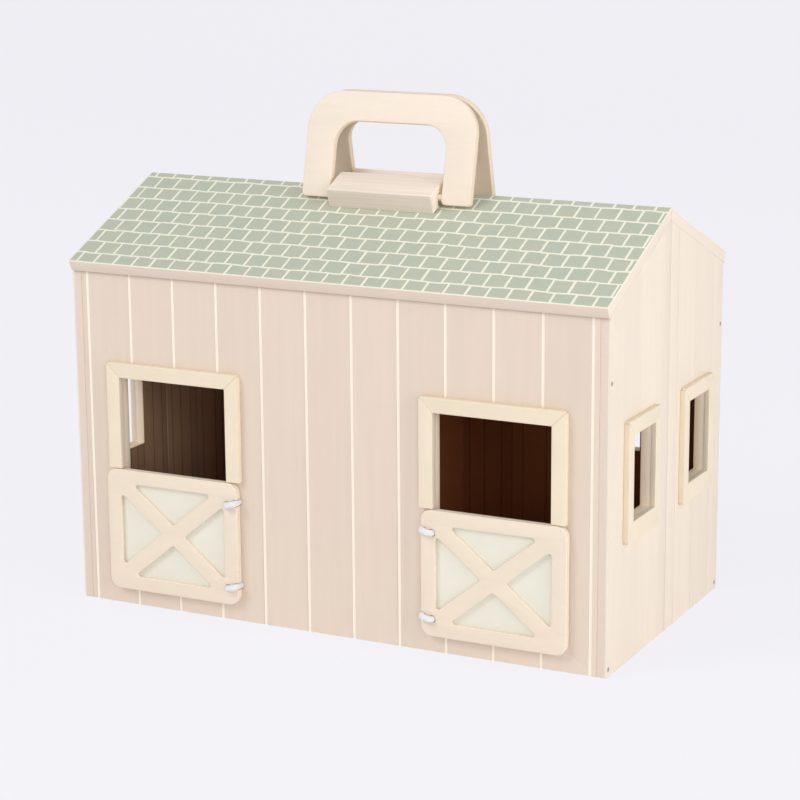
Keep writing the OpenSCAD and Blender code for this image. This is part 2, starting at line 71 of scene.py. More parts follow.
def evaluated(item):
    """What an object shows with its modifiers, as a plain mesh."""
    bpy.context.view_layer.update()
    return bpy.data.meshes.new_from_object(item.evaluated_get(bpy.context.evaluated_depsgraph_get()))


def mesh_from(work, name):
    """A mesh from a working copy, which is then let go."""
    mesh = bpy.data.meshes.new(name)
    work.to_mesh(mesh)
    work.free()
    return mesh


print("helpers: placed, evaluated, mesh_from")

# %% [markdown]
# ## The camera
# The photograph was taken a little above the roof line and from the right of the
# front. A long lens keeps the upright edges nearly parallel. The camera is built
# from its heading, its height and a trace of roll, not by pointing it at a target,
# because the roll matters for edges that should lie along the photograph's own.

# %% Camera
SENSOR, PICTURE_WIDE, FOCAL_PIXELS = 36, 800, 2439.4
CAMERA_AT = (0.6556, -1.3046, 0.4761)
heading, height, roll = radians(26.68), radians(13.57), radians(-0.42)
back = Vector((sin(heading) * cos(height), -cos(heading) * cos(height),
               sin(height)))
right = (-back).cross(Vector((0, 0, 1))).normalized()
up = right.cross(-back)
level = Matrix((right, up, back)).transposed() @ Matrix.Rotation(roll, 3, "Z")
lens = bpy.data.cameras.new("view")
lens.sensor_width, lens.sensor_height, lens.sensor_fit = SENSOR, SENSOR, "HORIZONTAL"
lens.lens = FOCAL_PIXELS / PICTURE_WIDE * SENSOR
lens.clip_start, lens.clip_end = 0.05, 30
camera = placed("view", lens)
camera.matrix_world = Matrix.Translation(CAMERA_AT) @ level.to_4x4()
bpy.context.scene.camera = camera
print("camera lens", round(lens.lens, 2))

# %% [markdown]
# ## Painting with expressions
# A material is a chain of small nodes. Written out one by one they hide the idea,
# so a wire in the chain is wrapped in a class that understands plus, minus, times
# and divide. An expression on values then adds its Math nodes, and one on colours
# or vectors adds Vector Math, because a Math node would turn a colour grey.

# %% Wires and finishes
def tone(r, g, b):
    """A colour as a screen shows it, 0 to 255, as the light values that a shader takes."""
    screen = [v / 255 for v in (r, g, b)]
    return tuple(v / 12.92 if v <= 0.04045 else ((v + 0.055) / 1.055) ** 2.4 for v in screen)


class Wire:
    """A value, colour or vector on its way through a net of nodes."""

    def __init__(self, net, socket):
        self.net, self.socket = net, socket
        self.wide = socket.type in ("RGBA", "VECTOR")

    def maths(self, word, *terms):
        wide = any(isinstance(t, tuple) or (isinstance(t, Wire) and t.wide) for t in terms)
        if wide:
            terms = [(t, t, t) if isinstance(t, (int, float)) else t for t in terms]
        kind = "ShaderNodeVectorMath" if wide else "ShaderNodeMath"
        return self.net.node(kind, {"operation": word}, dict(enumerate(terms)))

    def __add__(self, other):
        return self.maths("ADD", self, other)

    def __radd__(self, other):
        return self.maths("ADD", other, self)

    def __sub__(self, other):
        return self.maths("SUBTRACT", self, other)

    def __rsub__(self, other):
        return self.maths("SUBTRACT", other, self)

    def __mul__(self, other):
        return self.maths("MULTIPLY", self, other)

    def __rmul__(self, other):
        return self.maths("MULTIPLY", other, self)

    def __truediv__(self, other):
        return self.maths("DIVIDE", self, other)

    def __rtruediv__(self, other):
        return self.maths("DIVIDE", other, self)

    def __abs__(self):
        return self.maths("ABSOLUTE", self)

    def floor(self):
        return self.maths("FLOOR", self)

    def part(self):
        return self.maths("FRACT", self)

    def cosine(self):
        return self.maths("COSINE", self)

    def sign(self):
        return self.maths("SIGN", self)

    def least(self, other):
        return self.maths("MINIMUM", self, other)

    def most(self, other):
        return self.maths("MAXIMUM", self, other)

    def above(self, low, high):
        """0 below low, 1 above high, with a smooth rise between."""
        return self.net.node("ShaderNodeMapRange", {"interpolation_type": "SMOOTHSTEP"},
                             {"Value": self, "From Min": low, "From Max": high})


class Net:
    """A tree of nodes, written as expressions."""

    def node(self, kind, settings=None, inputs=None, output=0):
        """Any node: its type, its settings, what goes into its sockets, and the output to go on from."""
        made = self.tree.nodes.new(kind)
        for key, value in (settings or {}).items():
            setattr(made, key, value)
        for key, value in (inputs or {}).items():
            socket = made.inputs[key] if isinstance(key, int) else next(
                s for s in made.inputs if key in (s.identifier, s.name) and s.enabled)
            if isinstance(value, Wire):
                self.tree.links.new(value.socket, socket)
            else:
                socket.default_value = (*value, 1) if socket.type == "RGBA" and len(value) == 3 else value
        return Wire(self, made.outputs[output])

    def vector(self, x, y, z):
        return self.node("ShaderNodeCombineXYZ", inputs={0: x, 1: y, 2: z})


class Finish(Net):
    """A material and the nodes that paint it."""

    def __init__(self, name):
        self.material = bpy.data.materials.new(name)
        self.material.use_nodes = True
        self.tree = self.material.node_tree
        self.tree.nodes.clear()
        self.place = self.node("ShaderNodeTexCoord", output="Object") * 1000.0
        self.x, self.y, self.z = [self.node("ShaderNodeSeparateXYZ", inputs={0: self.place}, output=axis)
                                  for axis in "XYZ"]

    def mix(self, share, first, second):
        return self.node("ShaderNodeMix", {"data_type": "RGBA"},
                         {"Factor_Float": share, "A_Color": first, "B_Color": second}, output=2)

    def noise(self, place, detail=3.0, rough=0.55):
        return self.node("ShaderNodeTexNoise",
                         inputs={"Vector": place, "Scale": 1.0, "Detail": detail, "Roughness": rough})

    def chance(self, place):
        """A number from 0 to 1 that stays the same all over one cell."""
        return self.node("ShaderNodeTexWhiteNoise", {"noise_dimensions": "3D"}, {"Vector": place})

    def attribute(self, name):
        return self.node("ShaderNodeAttribute", {"attribute_name": name}, output="Fac")

    def dents(self, height, depth):
        """Relief: height from 0 to 1, and its depth in millimetres."""
        return self.node("ShaderNodeBump", inputs={"Height": height, "Distance": depth / 1000, "Strength": 1.0})

    def surface(self, colour, roughness, relief=None, **constants):
        paint = self.node("ShaderNodeBsdfPrincipled", inputs={"Base Color": colour, "Roughness": roughness})
        shader = paint.socket.node
        for key, value in constants.items():
            shader.inputs[key.replace("_", " ")].default_value = value
        if relief is not None:
            self.tree.links.new(relief.socket, shader.inputs["Normal"])
        return self.shown(paint)

    def shown(self, shader):
        out = self.tree.nodes.new("ShaderNodeOutputMaterial")
        self.tree.links.new(shader.socket, out.inputs[0])
        return self.material


print("a wire adds Math nodes for values and Vector Math for colours")

# %% [markdown]
# ## Wood, seen close
# Every board shares two things: long faint streaks along the grain, and short
# pores that catch the light. Streaks are noise stretched along one axis. The
# stretch says which way the grain runs, so one helper serves every board.

# %% Grain helper
def grain(f, stretch, fine=6.0):
    """Broad streaks and fine pores, both from 0 to 1; stretch is small along the grain."""
    broad = f.noise(f.place * stretch, detail=2.5, rough=0.5)
    pores = f.noise(f.place * tuple(v * fine for v in stretch), detail=2.0, rough=0.65)
    return broad, pores


def wooden(f, colour, stretch, streak=0.10, pore=0.05):
    """A colour with the grain laid over it, and the relief of the pores."""
    broad, pores = grain(f, stretch)
    shade = 1 - (streak / 2) - (pore / 2) + broad * streak + pores * pore
    return colour * shade, f.dents(broad * 0.4 + pores * 0.6, 0.06)


print("grain: streaks along the stretch, pores six times finer")

# %% [markdown]
# ## The wall boards
# Pale veneer is glued on fibreboard and then cut with V grooves, so that one
# board looks like a row of planks. The cut shows lighter than the face, and a thin
# painted shadow runs beside each groove. Each plank's tone differs a little, which
# a noise that is constant in each cell gives. The end boards' face is lighter than
# the long walls', in part a painted light. Inside, the bare board is brown, and the
# sawn edges of the openings are yellower and painted lighter, a painted light. The
# end boards' insides are a much lighter brown than the long walls': painted light.

# %% Wall finish
# The end boards' face tone is lighter than the long walls', in part a painted light on the walls turned to the
# lamps.
FACE, END_FACE, GROOVE = tone(228, 211, 195), tone(238, 224, 208), tone(255, 245, 230)
# The reveal tone: the yellower sawn edges, painted lighter than they are, a painted light in the openings.
SAWN, LIT_REVEAL = tone(228, 211, 196), tone(252, 233, 206)
# The end boards' inside tone is a much lighter copy of the bare board: painted light.
BARE, LIT_END_BARE = tone(158, 94, 52), tone(228, 184, 146)
INSIDE_STRIP, GROOVE_SHADOW_OFFSET = 10.4, 1.15


def wall_finish(name, along, depth, outer, first, face, line, shade, bare):
    """along and depth name the axes along the row of planks and through the board; a groove lies at first."""
    f = Finish(name)
    across, through = (f.x if along == "x" else abs(f.y)) - first, abs(getattr(f, depth))
    row = across / PLANK
    near = row.part().least(1 - row.part()) * PLANK
    groove = 1 - near.above(0.75, 1.05)
    plank = f.chance(f.vector(row.floor(), 3.0, 1.0))
    shifted = f.place + f.vector(plank * 90, plank * 70, plank * 400)
    broad = f.noise(shifted * (0.22, 0.22, 0.012), detail=2.5, rough=0.5)
    pores = f.noise(shifted * (1.9, 1.9, 0.05), detail=2.0, rough=0.65)
    veneer = face * (0.925 + plank * 0.035 + broad * 0.075 + pores * 0.03)
    # A thin painted shadow just to one side of each groove, as strong as the shade argument says.
    groove_shadow = 1 - abs(((row + 0.5).part() - 0.5) * PLANK + GROOVE_SHADOW_OFFSET).above(0.15, 0.45)
    veneer = f.mix(groove, veneer * (1 - groove_shadow * shade), line)
    # The sawn edges inside the openings take the lighter reveal tone: painted light.
    edge = f.mix(abs(f.y).above(HALF_D - 0.6, HALF_D - 0.3), LIT_REVEAL, SAWN)
    edge = edge * (0.93 + f.noise(f.place * (0.9, 0.9, 0.9)) * 0.12)
    strip = across / INSIDE_STRIP + f.noise(across * (0.05, 0.0, 0.0), detail=0.0) * 1.5
    seam = 1 - (strip.part().least(1 - strip.part()) * INSIDE_STRIP).above(0.25, 0.8)
    board = bare * (0.80 + f.chance(f.vector(strip.floor(), 5.0, 2.0)) * 0.16 + pores * 0.10 - seam * 0.34)
    out_side = through.above(outer - 1.2, outer - 0.9)
    in_side = 1 - through.above(outer - WALL_T + 0.15, outer - WALL_T + 0.4)
    colour = f.mix(in_side, f.mix(out_side, edge, veneer), board)
    relief = f.dents(pores * 0.6 + broad * 0.4, 0.05)
    return f.surface(colour, 0.62 + in_side * 0.2, relief, Specular_IOR_Level=0.35)


long_planks = wall_finish("long_wall_planks", "x", "y", HALF_D, PLANK / 2, FACE, GROOVE, 0.10, BARE)
# The end boards' insides take the lighter bare tone: painted light.
end_planks = wall_finish("end_wall_planks", "y", "x", HX, END_PLANK, END_FACE, END_FACE, 0.02, LIT_END_BARE)
print("plank width", PLANK, "mm; wall finishes", long_planks.name, end_planks.name)

# %% [markdown]
# ## The printed roof
# The shingles are a print, not relief: green blocks with a hand-drawn cream line
# between them, in courses that run down the slope. The courses are counted from
# the ridge by the distance down the slope, and each second course is shifted by
# half a shingle. Noise moves the lines up and down, as a drawn line wanders.

# %% Shingle finish
COURSE, SHINGLE, FIRST_COURSE, LINE = 12.75, 12.9, 5.2, 1.45
VENEER = 1.75
SAGE = [tone(188, 194, 176), tone(192, 195, 176), tone(183, 193, 177)]


def shingle_finish():
    f = Finish("shingle_print")
    run, side = abs(f.y), f.y.sign()
    slope = run / cos(PITCH)
    depth = (RIDGE - run * tan(PITCH) - f.z) * cos(PITCH)
    on_top = 1 - depth.above(0.35, 0.6)
    wander = f.noise(f.vector(f.x * 0.05, slope * 0.05, side * 5.0), detail=1.0)
    plain = (slope - FIRST_COURSE) / COURSE + 1.5
    step = f.chance(f.vector((f.x / SHINGLE * 2).floor(), plain.floor(), side))
    course = plain - 0.5 + (wander - 0.5) * 0.16 + (step - 0.5) * 0.05
    number = course.floor()
    lean = f.noise(f.vector(f.x * 0.06, number * 3.0 + side, 7.0), detail=1.0)
    along = f.x / SHINGLE + (lean - 0.5) * 0.3 + number * 0.5 + f.chance(f.vector(number, 1.0, 2.0)) * 0.16
    cell = f.vector(along.floor(), number, side)
    up, across = course.part(), along.part()
    near = (up.least(1 - up) * COURSE).least(across.least(1 - across) * SHINGLE)
    width = LINE / 2 + (f.noise(f.place * 0.35, detail=1.0) - 0.5) * 0.4
    line = 1 - (near - width).above(-0.22, 0.22)
    green = f.mix(f.chance(cell), SAGE[0], SAGE[1])
    green = f.mix(f.noise(f.place * 0.09, detail=2.0).above(0.45, 0.75) * 0.6, green, SAGE[2])
    mottle = f.noise(f.place * (0.25, 0.5, 0.5), detail=3.0)
    green = green * (0.955 + mottle * 0.09)
    cream = tone(244, 242, 222) * (0.96 + mottle * 0.06)
    rim = abs(f.x).above(HX - 0.7, HX - 0.4).most(slope.above(EAVE_S - 0.8, EAVE_S - 0.5))
    printed = f.mix(line.most(rim), green, cream)
    layer = abs((depth / VENEER).part() - 0.5).above(0.32, 0.48)
    pores = f.noise(f.place * (0.08, 0.8, 0.8), detail=2.0)
    gable = abs(f.x).above(HX - 0.6, HX - 0.3)
    wood = f.mix(gable, SAWN, END_FACE) * (0.96 + pores * 0.08 - layer * 0.03)
    under = 1 - (ROOF_T - depth).above(0.02, 0.1)
    bare = BARE * (0.86 + f.noise(f.place * (0.03, 0.5, 0.5), detail=3) * 0.24)
    colour = f.mix(under, f.mix(on_top, wood, printed), bare)
    relief = f.dents(line * on_top * 0.5 + pores * 0.5, 0.04)
    return f.surface(colour, 0.58 + under * 0.2 - line * on_top * 0.06, relief, Specular_IOR_Level=0.35)


shingles = shingle_finish()
print("courses from ridge to eave:", round((EAVE_S - FIRST_COURSE) / COURSE, 1) + 1)

# %% [markdown]
# ## Trim, panels, handles and fibreboard
# The trim is light wood with a thin coat of cream: smooth on the face and a touch
# yellower where the saw went through. A face attribute named edge marks the
# rounded edges of each board, so that wear and yellowing keep to them.

# %% Plain wood finishes
def trim_finish(name, colour, edge_colour, stretch, streak, side_colour=None):
    """side_colour is for the sawn sides, where only the face is painted."""
    f = Finish(name)
    body, relief = wooden(f, colour, stretch, streak, 0.03)
    if side_colour:
        body = f.mix(f.attribute("side"), body, side_colour)
    rubbed = f.attribute("edge") * f.noise(f.place * 0.5, detail=3.0, rough=0.7).above(0.35, 0.6)
    shade = f.mix(rubbed * 0.55, body, edge_colour)
    return f.surface(shade, 0.5 + rubbed * 0.12, relief, Specular_IOR_Level=0.4)


FRAME_TONE, RUBBED = tone(238, 222, 203), tone(250, 240, 228)
casing_wood = trim_finish("casing_wood", tone(238, 223, 199), tone(228, 206, 172), (0.05, 0.05, 0.05), 0.07)
frame_wood = trim_finish("door_frame_wood", FRAME_TONE, RUBBED, (0.03, 0.3, 0.16), 0.06)
panel_paint = trim_finish("door_panel_paint", tone(234, 231, 216), FRAME_TONE, (0.12, 0.3, 0.12), 0.04,
                          side_colour=FRAME_TONE)


def plywood_finish(name, side):
    """Handle plywood: fine grain on the face, its layers across the thickness on every edge, and a painted
    shade on the ridge-side face.
    """
    f = Finish(name)
    through = (f.y * side - PIVOT_Y) * cos(LEAN) + (f.z - PIVOT_Z) * sin(LEAN)
    inside = 1 - abs(through).above(HANDLE_T / 2 - 0.25, HANDLE_T / 2 - 0.1)
    layers = abs((through / PLY_LAYER).part() - 0.5).above(0.18, 0.34)
    body, relief = wooden(f, tone(240, 225, 208), (0.035, 0.3, 0.3), 0.06, 0.035)
    edge = f.mix(layers, tone(243, 227, 206), tone(234, 213, 187)) * (0.94 + f.noise(f.place * 0.8) * 0.1)
    # The ridge-side face is painted a fifth darker and browner: a painted shade.
    back = 1 - through.above(0.1 - HANDLE_T / 2, 0.3 - HANDLE_T / 2)
    colour = f.mix(inside, body * (1 - back * 0.2), edge)
    colour = colour * f.mix(back, (1.0, 1.0, 1.0), (1.0, 0.95, 0.88))
    return f.surface(colour, 0.52 + inside * 0.1, relief, Specular_IOR_Level=0.4)


HANDLE_T, LEG_W, HANDLE_W, BAR_H, HANDLE_UP, HANDLE_FOOT = 4.5, 19.0, 112.5, 18.0, 60.0, 4.6
PLY_LAYER, HANDLE_FROM_SEAM = 0.9, 0.2
PIVOT_S, PIVOT_H, JOURNAL_R, BORE_R = 14.7, 5.6, 2.15, 2.2
BLOCK_X, BLOCK_S, BLOCK_D, BLOCK_H = HANDLE_W / 2 - LEG_W - 2.2, 3.0, 22.0, 12.0
BLOCK_END = BLOCK_S + BLOCK_D
PIVOT_Y = PIVOT_S * cos(PITCH) + PIVOT_H * sin(PITCH)
PIVOT_Z = RIDGE - PIVOT_S * sin(PITCH) + PIVOT_H * cos(PITCH)
LEAN = (asin((PIVOT_Y - HANDLE_FROM_SEAM) / hypot(HANDLE_UP, HANDLE_T / 2))
        - atan(HANDLE_T / 2 / HANDLE_UP))
handle_ply = {"front": plywood_finish("front_handle_ply", -1), "rear": plywood_finish("rear_handle_ply", 1)}


def block_finish():
    f = Finish("clamp_block_wood")
    rings = f.noise(f.place * (0.012, 0.9, 0.9), detail=3.0, rough=0.6)
    pores = f.noise(f.place * (0.09, 3.0, 3.0), detail=2.0)
    colour = f.mix(rings.above(0.35, 0.75), tone(250, 236, 222), tone(240, 223, 206)) * (0.96 + pores * 0.06)
    # The down-slope face is painted a fifth darker: a painted shade.
    down = abs(f.y) * cos(PITCH) + (RIDGE - f.z) * sin(PITCH)
    colour = colour * (1 - down.above(BLOCK_END - 0.5, BLOCK_END - 0.2) * 0.2)
    colour = f.mix(f.attribute("edge") * 0.4, colour, RUBBED)
    return f.surface(colour, 0.55, f.dents(pores, 0.06), Specular_IOR_Level=0.4)


def board_finish():
    f = Finish("bare_fibreboard")
    fibres = f.noise(f.place * (0.35, 0.35, 0.35), detail=5.0, rough=0.7)
    specks = f.noise(f.place * 2.5, detail=2.0)
    colour = BARE * (0.84 + fibres * 0.24 + specks * 0.08)
    return f.surface(colour, 0.82, f.dents(specks, 0.05), Specular_IOR_Level=0.25)


block_wood, fibreboard = block_finish(), board_finish()
print("handle leans", round(degrees(LEAN), 2), "degrees at rest")

# %% Metal and cord finishes
def metal_finish(name, colour, rough):
    f = Finish(name)
    scratch = f.noise(f.place * (2.0, 2.0, 14.0), detail=2.0, rough=0.7)
    stained = f.mix(f.noise(f.place * 0.6, detail=3.0) * 0.35, colour, tuple(v * 0.72 for v in colour))
    return f.surface(stained, rough - 0.06 + scratch * 0.12, f.dents(scratch, 0.01), Metallic=1.0)


brass = metal_finish("hinge_brass", tone(212, 186, 120), 0.34)
steel = metal_finish("screw_steel", tone(172, 171, 166), 0.35)


def cord_finish():
    """White elastic: the woven sleeve follows the cord, so its pattern reads the sweep's own attribute."""
    f = Finish("elastic_sleeve")
    round_it = f.attribute("sleeve_turn") * 8.0
    along = f.attribute("sleeve_length") * 1.1
    one = abs((round_it + along).part() - 0.5) * 2
    two = abs((round_it - along).part() - 0.5) * 2
    weave = one.least(two)
    lint = f.noise(f.place * 1.2, detail=2.0)
    colour = f.mix(weave.above(0.0, 0.5), tone(214, 212, 220), tone(247, 246, 249)) * (0.96 + lint * 0.05)
    return f.surface(colour, 0.75, f.dents(weave, 0.12), Sheen_Weight=0.25, Sheen_Roughness=0.5)


sleeve = cord_finish()
print("metal:", brass.name, steel.name, "cord:", sleeve.name)

# %% [markdown]
# ## Boards with broken edges
# Almost every piece is a flat board cut to an outline. A filled 2D curve gives
# that at once: it is extruded for the thickness, and its own bevel rounds the
# edges of the outline and of every hole alike. A small helper first rounds the
# corners of the outline, each with its own radius, as a router bit would.

# %% Outline and board helpers
def rounded(corners, steps=6):
    """Corners (x, y, radius) to a smooth closed outline."""
    line = []
    for i, (x, y, r) in enumerate(corners):
        here = Vector((x, y))
        before = (Vector(corners[i - 1][:2]) - here).normalized()
        after = (Vector(corners[(i + 1) % len(corners)][:2]) - here).normalized()
        half = before.angle(after) / 2
        if r <= 0 or half > 1.56:
            line.append((x, y))
            continue
        middle = here + (before + after).normalized() * (r / sin(half))
        along = r / tan(half)
        a, b = here + before * along - middle, here + after * along - middle
        for k in range(steps + 1):
            turn = a.angle_signed(b) * k / steps
            c, s = cos(turn), sin(turn)
            v = Vector((a.x * c + a.y * s, a.y * c - a.x * s))
            line.append((middle.x + v.x, middle.y + v.y))
    return line


def flat_board(outlines, thick, edge):
    """A board in the x-y plane, centred on its thickness, with every edge rounded. Sizes in mm."""
    curve = bpy.data.curves.new("outline", "CURVE")
    curve.dimensions, curve.fill_mode = "2D", "BOTH"
    curve.extrude, curve.offset = thick / 2 - edge, -edge
    curve.bevel_depth, curve.bevel_resolution = edge, 2
    for outline in outlines:
        spline = curve.splines.new("POLY")
        spline.points.add(len(outline) - 1)
        for point, (x, y) in zip(spline.points, outline):
            point.co = (x, y, 0, 1)
        spline.use_cyclic_u = True
    shape = placed("outline", curve)
    mesh = evaluated(shape)
    bpy.data.objects.remove(shape)
    bpy.data.curves.remove(curve)
    work = bmesh.new()
    work.from_mesh(mesh)
    bmesh.ops.remove_doubles(work, verts=work.verts, dist=0.002)
    bmesh.ops.recalc_face_normals(work, faces=work.faces)
    edge_mark, side_mark = work.faces.layers.float.new("edge"), work.faces.layers.float.new("side")
    for face in work.faces:
        tip = abs(face.normal.z)
        face[edge_mark], face[side_mark] = float(0.05 < tip < 0.95), float(tip < 0.95)
    work.to_mesh(mesh)
    work.free()
    return mesh


def merged(meshes):
    """Several meshes in one."""
    work = bmesh.new()
    for mesh in meshes:
        work.from_mesh(mesh)
    return mesh_from(work, "merged")


def moved(mesh, matrix):
    """A copy of a mesh, moved, with its faces still pointing outwards after a mirror."""
    copy = mesh.copy()
    copy.transform(matrix)
    if matrix.determinant() < 0:
        copy.flip_normals()
    return copy


def frame_of(x, y, z, origin=(0, 0, 0)):
    """The matrix that takes the local axes to these directions."""
    return Matrix.Translation(origin) @ Matrix((x, y, z)).transposed().to_4x4()


MIRROR_X, MIRROR_Y = Matrix.Diagonal((-1, 1, 1, 1)), Matrix.Diagonal((1, -1, 1, 1))
SIDES = {"left": Matrix.Identity(4), "right": MIRROR_X}
HALVES = {"front": Matrix.Identity(4), "rear": MIRROR_Y}
TO_FRONT = frame_of((1, 0, 0), (0, 0, 1), (0, -1, 0))
TO_LEFT_END = frame_of((0, -1, 0), (0, 0, 1), (-1, 0, 0))


SHARP_FROM = 40


def dressed(name, mesh, material):
    """The mesh in mm becomes a piece in metres, with its finish."""
    mesh.transform(Matrix.Diagonal((0.001, 0.001, 0.001, 1)))
    mesh.name = name
    mesh.materials.clear()
    mesh.materials.append(material)
    return placed(name, mesh)


def finished(name, mesh, material, body, node):
    """A rigid piece that rides its body and stands for its node."""
    piece = dressed(name, mesh, material)
    mesh.set_sharp_from_angle(angle=radians(SHARP_FROM))
    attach(piece, body)
    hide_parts(node)
    return piece


print("a board is a filled curve; its bevel breaks every edge")

# %% [markdown]
# ## Cutting grooves and holes with Geometry Nodes
# The grooves repeat at the plank's width, so one small node tree makes the cutter:
# a three-sided bar, set out along a line, and taken away from the board. The same
# idea drills the holes for the brads and cords, with a drill on each point of a
# second mesh. Both trees have their sizes as named inputs.

# %% Node tree helpers
class Tree(Net):
    """A Geometry Nodes tree with named inputs, built in a few lines."""

    def __init__(self, name, inputs):
        self.tree = bpy.data.node_groups.new(name, "GeometryNodeTree")
        face = self.tree.interface
        face.new_socket("Geometry", in_out="INPUT", socket_type="NodeSocketGeometry")
        for label, (kind, value) in inputs.items():
            socket = face.new_socket(label, in_out="INPUT", socket_type=kind)
            if value is not None:
                socket.default_value = value
        face.new_socket("Geometry", in_out="OUTPUT", socket_type="NodeSocketGeometry")
        self.inputs = self.tree.nodes.new("NodeGroupInput")
        self.output = self.tree.nodes.new("NodeGroupOutput")

    def take(self, label):
        """The wire from a named input."""
        return Wire(self, next(s for s in self.inputs.outputs if s.name == label))

    def shape_of(self, label):
        """The shape of the object that a named input gives."""
        return self.node("GeometryNodeObjectInfo", {"transform_space": "ORIGINAL"}, {0: self.take(label)},
                         "Geometry")

    def stored(self, name, kind="FLOAT"):
        return self.node("GeometryNodeInputNamedAttribute", {"data_type": kind}, {"Name": name})

    def store(self, geometry, name, value):
        return self.node("GeometryNodeStoreNamedAttribute", {"data_type": "FLOAT", "domain": "POINT"},
                         {"Geometry": geometry, "Name": name, "Value": value})

    def finish(self, geometry):
        """Every tree ends with real geometry in its material."""
        real = self.node("GeometryNodeRealizeInstances", inputs={0: geometry})
        painted = self.node("GeometryNodeSetMaterial", inputs={0: real, "Material": self.take("Material")})
        self.tree.links.new(painted.socket, self.output.inputs[0])
        return self

    def cut_by(self, tools):
        """The board that comes in, less these tools."""
        real = self.node("GeometryNodeRealizeInstances", inputs={0: tools})
        return self.finish(self.node("GeometryNodeMeshBoolean", {"operation": "DIFFERENCE", "solver": "EXACT"},
                                     {"Mesh 1": self.take("Geometry"), "Mesh 2": real}))

    def run(self, geometry, values):
        """The tree's result on a mesh or curve, as a plain mesh."""
        source = placed("work", geometry)
        step = source.modifiers.new("tree", "NODES")
        step.node_group = self.tree
        for item in self.tree.interface.items_tree:
            if item.in_out == "INPUT" and item.name in values:
                step[item.identifier] = values[item.name]
        made = evaluated(source)
        source.modifiers.remove(step)
        bpy.data.objects.remove(source)
        return made


NUMBER, WHOLE, THING, PAINT = "NodeSocketFloat", "NodeSocketInt", "NodeSocketObject", "NodeSocketMaterial"
print("a tree takes named inputs and ends in one plain mesh")

# %% Groove cutter and drill
BAR_ACROSS, BAR_DEEP = 1.155, 1.3333


def groove_tree():
    """Upright V grooves cut into the face at the given height above the board's middle."""
    t = Tree("plank_grooves", {"Plank width": (NUMBER, 30.0), "Planks": (WHOLE, 12), "First": (NUMBER, 0.0),
                               "Groove width": (NUMBER, 1.4), "Groove depth": (NUMBER, 0.8),
                               "Length": (NUMBER, 300.0), "Face": (NUMBER, 3.0), "Material": (PAINT, None)})
    bar = t.node("GeometryNodeMeshCylinder", {"fill_type": "NGON"},
                 {"Vertices": 3, "Radius": 1.0, "Depth": t.take("Length")}, "Mesh")
    lying = t.node("GeometryNodeTransform", inputs={0: bar, "Rotation": (pi / 2, pi, 0)})
    size = t.vector(t.take("Groove width") * BAR_ACROSS, 1.0, t.take("Groove depth") * BAR_DEEP)
    cutter = t.node("GeometryNodeTransform", inputs={0: lying, "Scale": size})
    row = t.node("GeometryNodeMeshLine", {"mode": "OFFSET"},
                 {"Count": t.take("Planks"), "Start Location": t.vector(t.take("First"), 0.0, t.take("Face")),
                  "Offset": t.vector(t.take("Plank width"), 0.0, 0.0)})
    return t.cut_by(t.node("GeometryNodeInstanceOnPoints", inputs={"Points": row, "Instance": cutter}))


def drill_tree():
    """A round hole at each point of another mesh, from the board's face down to a depth."""
    t = Tree("drilled_holes", {"Places": (THING, None), "Radius": (NUMBER, 1.0), "Depth": (NUMBER, 2.0),
                               "Material": (PAINT, None)})
    drill = t.node("GeometryNodeMeshCylinder", {"fill_type": "NGON"},
                   {"Vertices": 24, "Radius": t.take("Radius"), "Depth": t.take("Depth")}, "Mesh")
    places = t.shape_of("Places")
    return t.cut_by(t.node("GeometryNodeInstanceOnPoints", inputs={"Points": places, "Instance": drill}))


grooves, drills = groove_tree(), drill_tree()


def drilled(mesh, places, radius, depth, material):
    """Holes with their middles at the places (x, y, z), in the board's own plane."""
    marks = bpy.data.meshes.new("marks")
    marks.from_pydata(places, [], [])
    holder = placed("marks", marks)
    made = drills.run(mesh, {"Places": holder, "Radius": radius, "Depth": depth, "Material": material})
    bpy.data.objects.remove(holder)
    return made


print("trees:", [g.name for g in bpy.data.node_groups])

# %% [markdown]
# ## Walls
# A long wall stands between the end walls, and its top edge is sloped to the roof.
# The board is made square and its top is then sheared, which keeps the rounded
# edge. The doorways and windows are holes of the same outline.

# %% Long walls
DOOR_X, DOOR_W, DOOR_TOP, DOOR_SILL = 105.3, 73.5, 144.0, 18.0
WINDOW_W, WINDOW_H, WINDOW_LOW, WINDOW_Y, REAR_WINDOW_X = 34.0, 50.5, 84.5, 45.0, 108.0
BRAD_Y, BRAD_LOW, BRAD_HIGH = HALF_D - WALL_T / 2, 4.5, 170.0
BRAD_HOLE_R, BRAD_HOLE_D, END_GROOVE_W, END_GROOVE_D = 1.45, 1.2, 0.6, 0.2
EDGE = 0.15


def rectangle(x0, x1, y0, y1, r=0.6):
    return rounded([(x0, y0, r), (x1, y0, r), (x1, y1, r), (x0, y1, r)])


def grooved(board, wide, first, width, depth, material):
    """Grooves a plank's width apart, as far as they fit in the board's width."""
    planks = floor(wide / PLANK) + 1
    return grooves.run(board, {"Plank width": PLANK, "Planks": planks,
                               "First": -(planks - 1) / 2 * PLANK if first is None else first,
                               "Groove width": width, "Groove depth": depth, "Length": 3 * WALL_H,
                               "Face": WALL_T / 2, "Material": material})


def long_wall(openings, cord_holes):
    outline = [rectangle(-IN_X, IN_X, 0, WALL_H)] + [rectangle(*hole) for hole in openings]
    board = grooved(flat_board(outline, WALL_T, EDGE), 2 * IN_X - 2 * GROOVE_W, None, GROOVE_W, GROOVE_D,
                    long_planks)
    if cord_holes:
        board = drilled(board, cord_holes, CORD_HOLE_R, 3 * WALL_T, long_planks)
    for vertex in board.vertices:
        if vertex.co.y > WALL_H - 3:
            vertex.co.y += (WALL_T / 2 - vertex.co.z) * tan(PITCH)
    board.transform(Matrix.Translation((0, 0, IN_Y + WALL_T / 2)))
    return moved(board, TO_FRONT)


